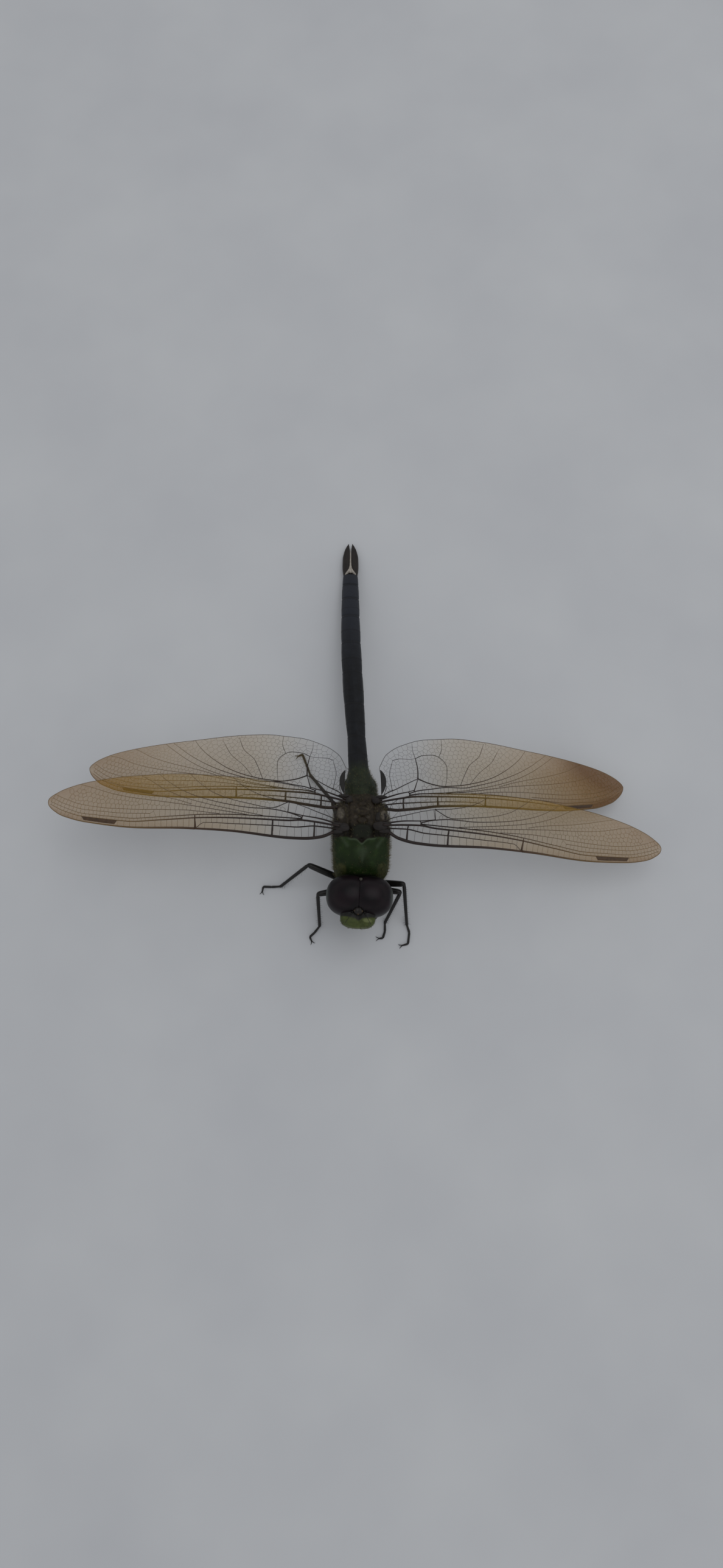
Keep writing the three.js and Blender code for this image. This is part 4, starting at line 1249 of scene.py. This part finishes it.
def wing_veins(name, wing, draw):
    """All veins of a wing as one piece: margin, long veins, and the net of cross-veins."""
    parts, reach = zip(*(vein_tube(wing, *line) for line in main_veins(wing)))
    edges = np.vstack([cells_in_field(wing, field, draw) for field in wing.kind["fields"]]) / wing.length
    outward, rearward = edges[:, 0].T
    radii = 0.023 - 0.009 * blend(0.05, 0.09, rearward) - 0.003 * blend(0.45, 0.8, outward)
    starts, ends = (wing.points(*edges[:, end].T) for end in (0, 1))
    net = rungs(starts, ends, radii, wing.normal)
    reach = np.concatenate([*reach, np.repeat(outward, 2 * ROD_SIDES)])
    marks = {"tint": blend(0.15, 0.9, reach)}
    add_piece(f"{name}_veins", merged([*parts, net]), "vein", (), marks)


def rungs(starts, ends, radii, normal):
    """Many short rods with closed ends."""
    along = unit(ends - starts)
    across = unit(np.cross(along, normal))
    upward = np.cross(across, along)
    turns = turns_of(ROD_SIDES)[None, :, None]
    ring = radii[:, None, None] * (np.cos(turns) * across[:, None] + np.sin(turns) * upward[:, None])
    points = np.concatenate([starts[:, None] + ring, ends[:, None] + ring], 1).reshape(-1, 3)
    pattern = []
    for side in range(ROD_SIDES):
        following = (side + 1) % ROD_SIDES
        pattern.append([side, following, ROD_SIDES + following, ROD_SIDES + side])
    pattern += [list(range(ROD_SIDES))[::-1], list(range(ROD_SIDES, 2 * ROD_SIDES))]
    return points, repeated(pattern, len(starts), 2 * ROD_SIDES)


def sheet(top, bottom):
    """A thin closed sheet between two equal grids of points."""
    points = np.vstack([top.reshape(-1, 3), bottom.reshape(-1, 3)])
    under = len(points) // 2
    grid = np.arange(under).reshape(top.shape[:2])
    quads = np.stack([grid[:-1, :-1], grid[:-1, 1:], grid[1:, 1:], grid[1:, :-1]], -1).reshape(-1, 4)
    faces = quads.tolist() + (quads[:, ::-1] + under).tolist()
    rim = [*grid[0], *grid[1:, -1], *grid[-1, -2::-1], *grid[-2:0:-1, 0]]
    for first, second in zip(rim, rim[1:] + rim[:1]):
        faces.append([second, first, first + under, second + under])
    return points, faces


def film(wing, u, v, above, below):
    return sheet(wing.points(u, v, above), wing.points(u, v, below))


def wing_membrane(name, wing):
    rows, columns = 170, 56
    u = 1 - (1 - np.linspace(0, 1, rows)) ** 1.5
    u[-1] = 0.9999
    u = u[:, None] * np.ones(columns)
    part = np.linspace(0, 1, columns) ** 1.15
    v = wing.edge("front", u) * (1 - part) + wing.edge("back", u) * part
    marks = {"tint": np.tile(wing.tint(u, v).ravel(), 2)}
    shape = film(wing, u, v, MEMBRANE / 2, -MEMBRANE / 2)
    add_piece(f"{name}_membrane", shape, "membrane", [name], marks)


def pterostigma(name, wing):
    """The thick dark cell on the front margin near the tip; its ends slant."""
    rows, columns = 50, 9
    start, end = in_parts(wing.kind["stigma"])
    part = np.linspace(0.3, 0.98, columns)
    u = np.linspace(start, end, rows)[:, None] * np.ones(columns)
    v = wing.edge("front", u) * (1 - part) + wing.edge("radius", u) * part
    u = u + 0.012 * (part - 0.5) * np.sign(u - (start + end) / 2)
    puff = 0.05 + 0.03 * np.sin(math.pi * np.linspace(0, 1, columns))
    add_piece(f"{name}_pterostigma", film(wing, u, v, puff, -puff), "stigma")


def membranule(name, wing):
    """The small black flap along the hindwing's inner edge."""
    rows, columns = 40, 6
    part = np.linspace(0, 1, rows)[:, None]
    across = np.linspace(0, 1, columns)
    wide = 0.021 * np.sin(math.pi * np.clip(part, 0.01, 0.99)) ** 0.75
    u = 0.012 * part - 0.012 + wide * across
    v = (0.034 + 0.108 * part) * np.ones_like(across)
    add_piece(f"{name}_membranule", film(wing, u, v, 0.06, -0.04), "black")


def wing_base(name, wing):
    """The hard little plates that carry a wing, and the wing's own thickened root."""
    large = wing.kind is FOREWING
    plates = [                      # u, v, height, half sizes
        (-0.012, 0.002 if large else -0.012, -0.05, (0.95, 0.38, 0.27)),
        (-0.028, 0.018, -0.42, (1.2, 0.75, 0.38) if large else (0.9, 0.7, 0.36)),
        (-0.01, 0.027, -0.02, (0.9, 0.28, 0.22)),
    ]
    if large:
        plates.append((-0.024, 0.056, -0.6, (0.9, 0.9, 0.3)))
    parts = []
    for u, v, height, size in plates:
        rings = ovoid(size, 2.3, 36, 56)
        x, y, z = np.split(rings, 3, axis=-1)
        wrinkle = 1 + 0.06 * np.sin(3 * x + 2 * y + v * 90) * np.cos(3.5 * y - x)
        wrinkle = wrinkle - 0.08 * hump(y, 0.1 * size[1] + 0.2 * x, 0.09) * blend(0, 0.2, z)
        parts.append(closed_skin(rings * wrinkle + wing.points([u], [v], height)[0]))
    add_piece(f"{name}_base", merged(parts), "plate")


def wings():
    for number, (name, setting) in enumerate(WINGS.items()):
        wing = Wing(*setting)
        wing_membrane(name, wing)
        wing_veins(name, wing, np.random.default_rng(NET_SEED + number))
        wing_base(name, wing)
        pterostigma(name, wing)
        if wing.kind is HINDWING:
            membranule(name, wing)


# ---------------- stage
def floor():
    reach = 3.0
    mesh = bpy.data.meshes.new("floor")
    mesh.from_pydata([(-reach, -reach, 0), (reach, -reach, 0), (reach, reach, 0), (-reach, reach, 0)], [],
                     [(0, 1, 2, 3)])
    finish = Finish("floor", ior=1.45, roughness=0.7)
    tone = finish.speckle(30, 3, (0.3, "#aeb0b4"), (0.7, "#b5b7ba"))
    mesh.materials.append(finish.use(Base_Color=tone))
    add_object("floor", mesh)


def key_light():
    """A soft light from above and behind, on the insect's left."""
    light = bpy.data.lights.new("key_light", "AREA")
    light.size = 0.45
    light.energy = 0.95
    lamp = add_object("key_light", light)
    lamp.location = (0.14, 0.06, 0.62)
    lamp.rotation_euler = Vector(lamp.location).to_track_quat("Z", "Y").to_euler()


def pale_room():
    """Light from all round, brighter below than overhead."""
    world = bpy.data.worlds.new("pale_room")
    bpy.context.scene.world = world
    world.use_nodes = True
    tree = world.node_tree
    height = tree.nodes.new("ShaderNodeSeparateXYZ")
    tree.links.new(tree.nodes.new("ShaderNodeTexCoord").outputs["Generated"], height.inputs[0])
    sky = tree.nodes.new("ShaderNodeValToRGB")
    low, high = sky.color_ramp.elements
    low.position = 0.25
    low.color = colour("#ffffff")
    high.color = colour("#b4b7bb")
    tree.links.new(height.outputs["Z"], sky.inputs[0])
    tree.links.new(sky.outputs[0], tree.nodes["Background"].inputs["Color"])
    tree.nodes["Background"].inputs["Strength"].default_value = 0.86
    bpy.context.scene.view_settings.view_transform = "Standard"


def camera():
    """Looks down from just ahead of the head, tilted back towards the tail."""
    aim = placed((0, 9.326, 0))
    tilt = math.radians(16)
    distance = 0.20603
    data = bpy.data.cameras.new("camera")
    data.lens = 27.04
    data.sensor_width = 36
    data.clip_start = 0.005
    view = add_object("camera", data)
    view.location = aim + distance * np.array((0, -math.sin(tilt), math.cos(tilt)))
    view.rotation_euler = (tilt, 0, 0)
    bpy.context.scene.camera = view


camera()
floor()
key_light()
pale_room()
torso()
abdomen()
tail()
eyes()
skull()
forehead()
face_shield()
lips()
jaws()
crown()
for leg_name, joints in LEGS.items():
    leg(leg_name, *joints)
wings()
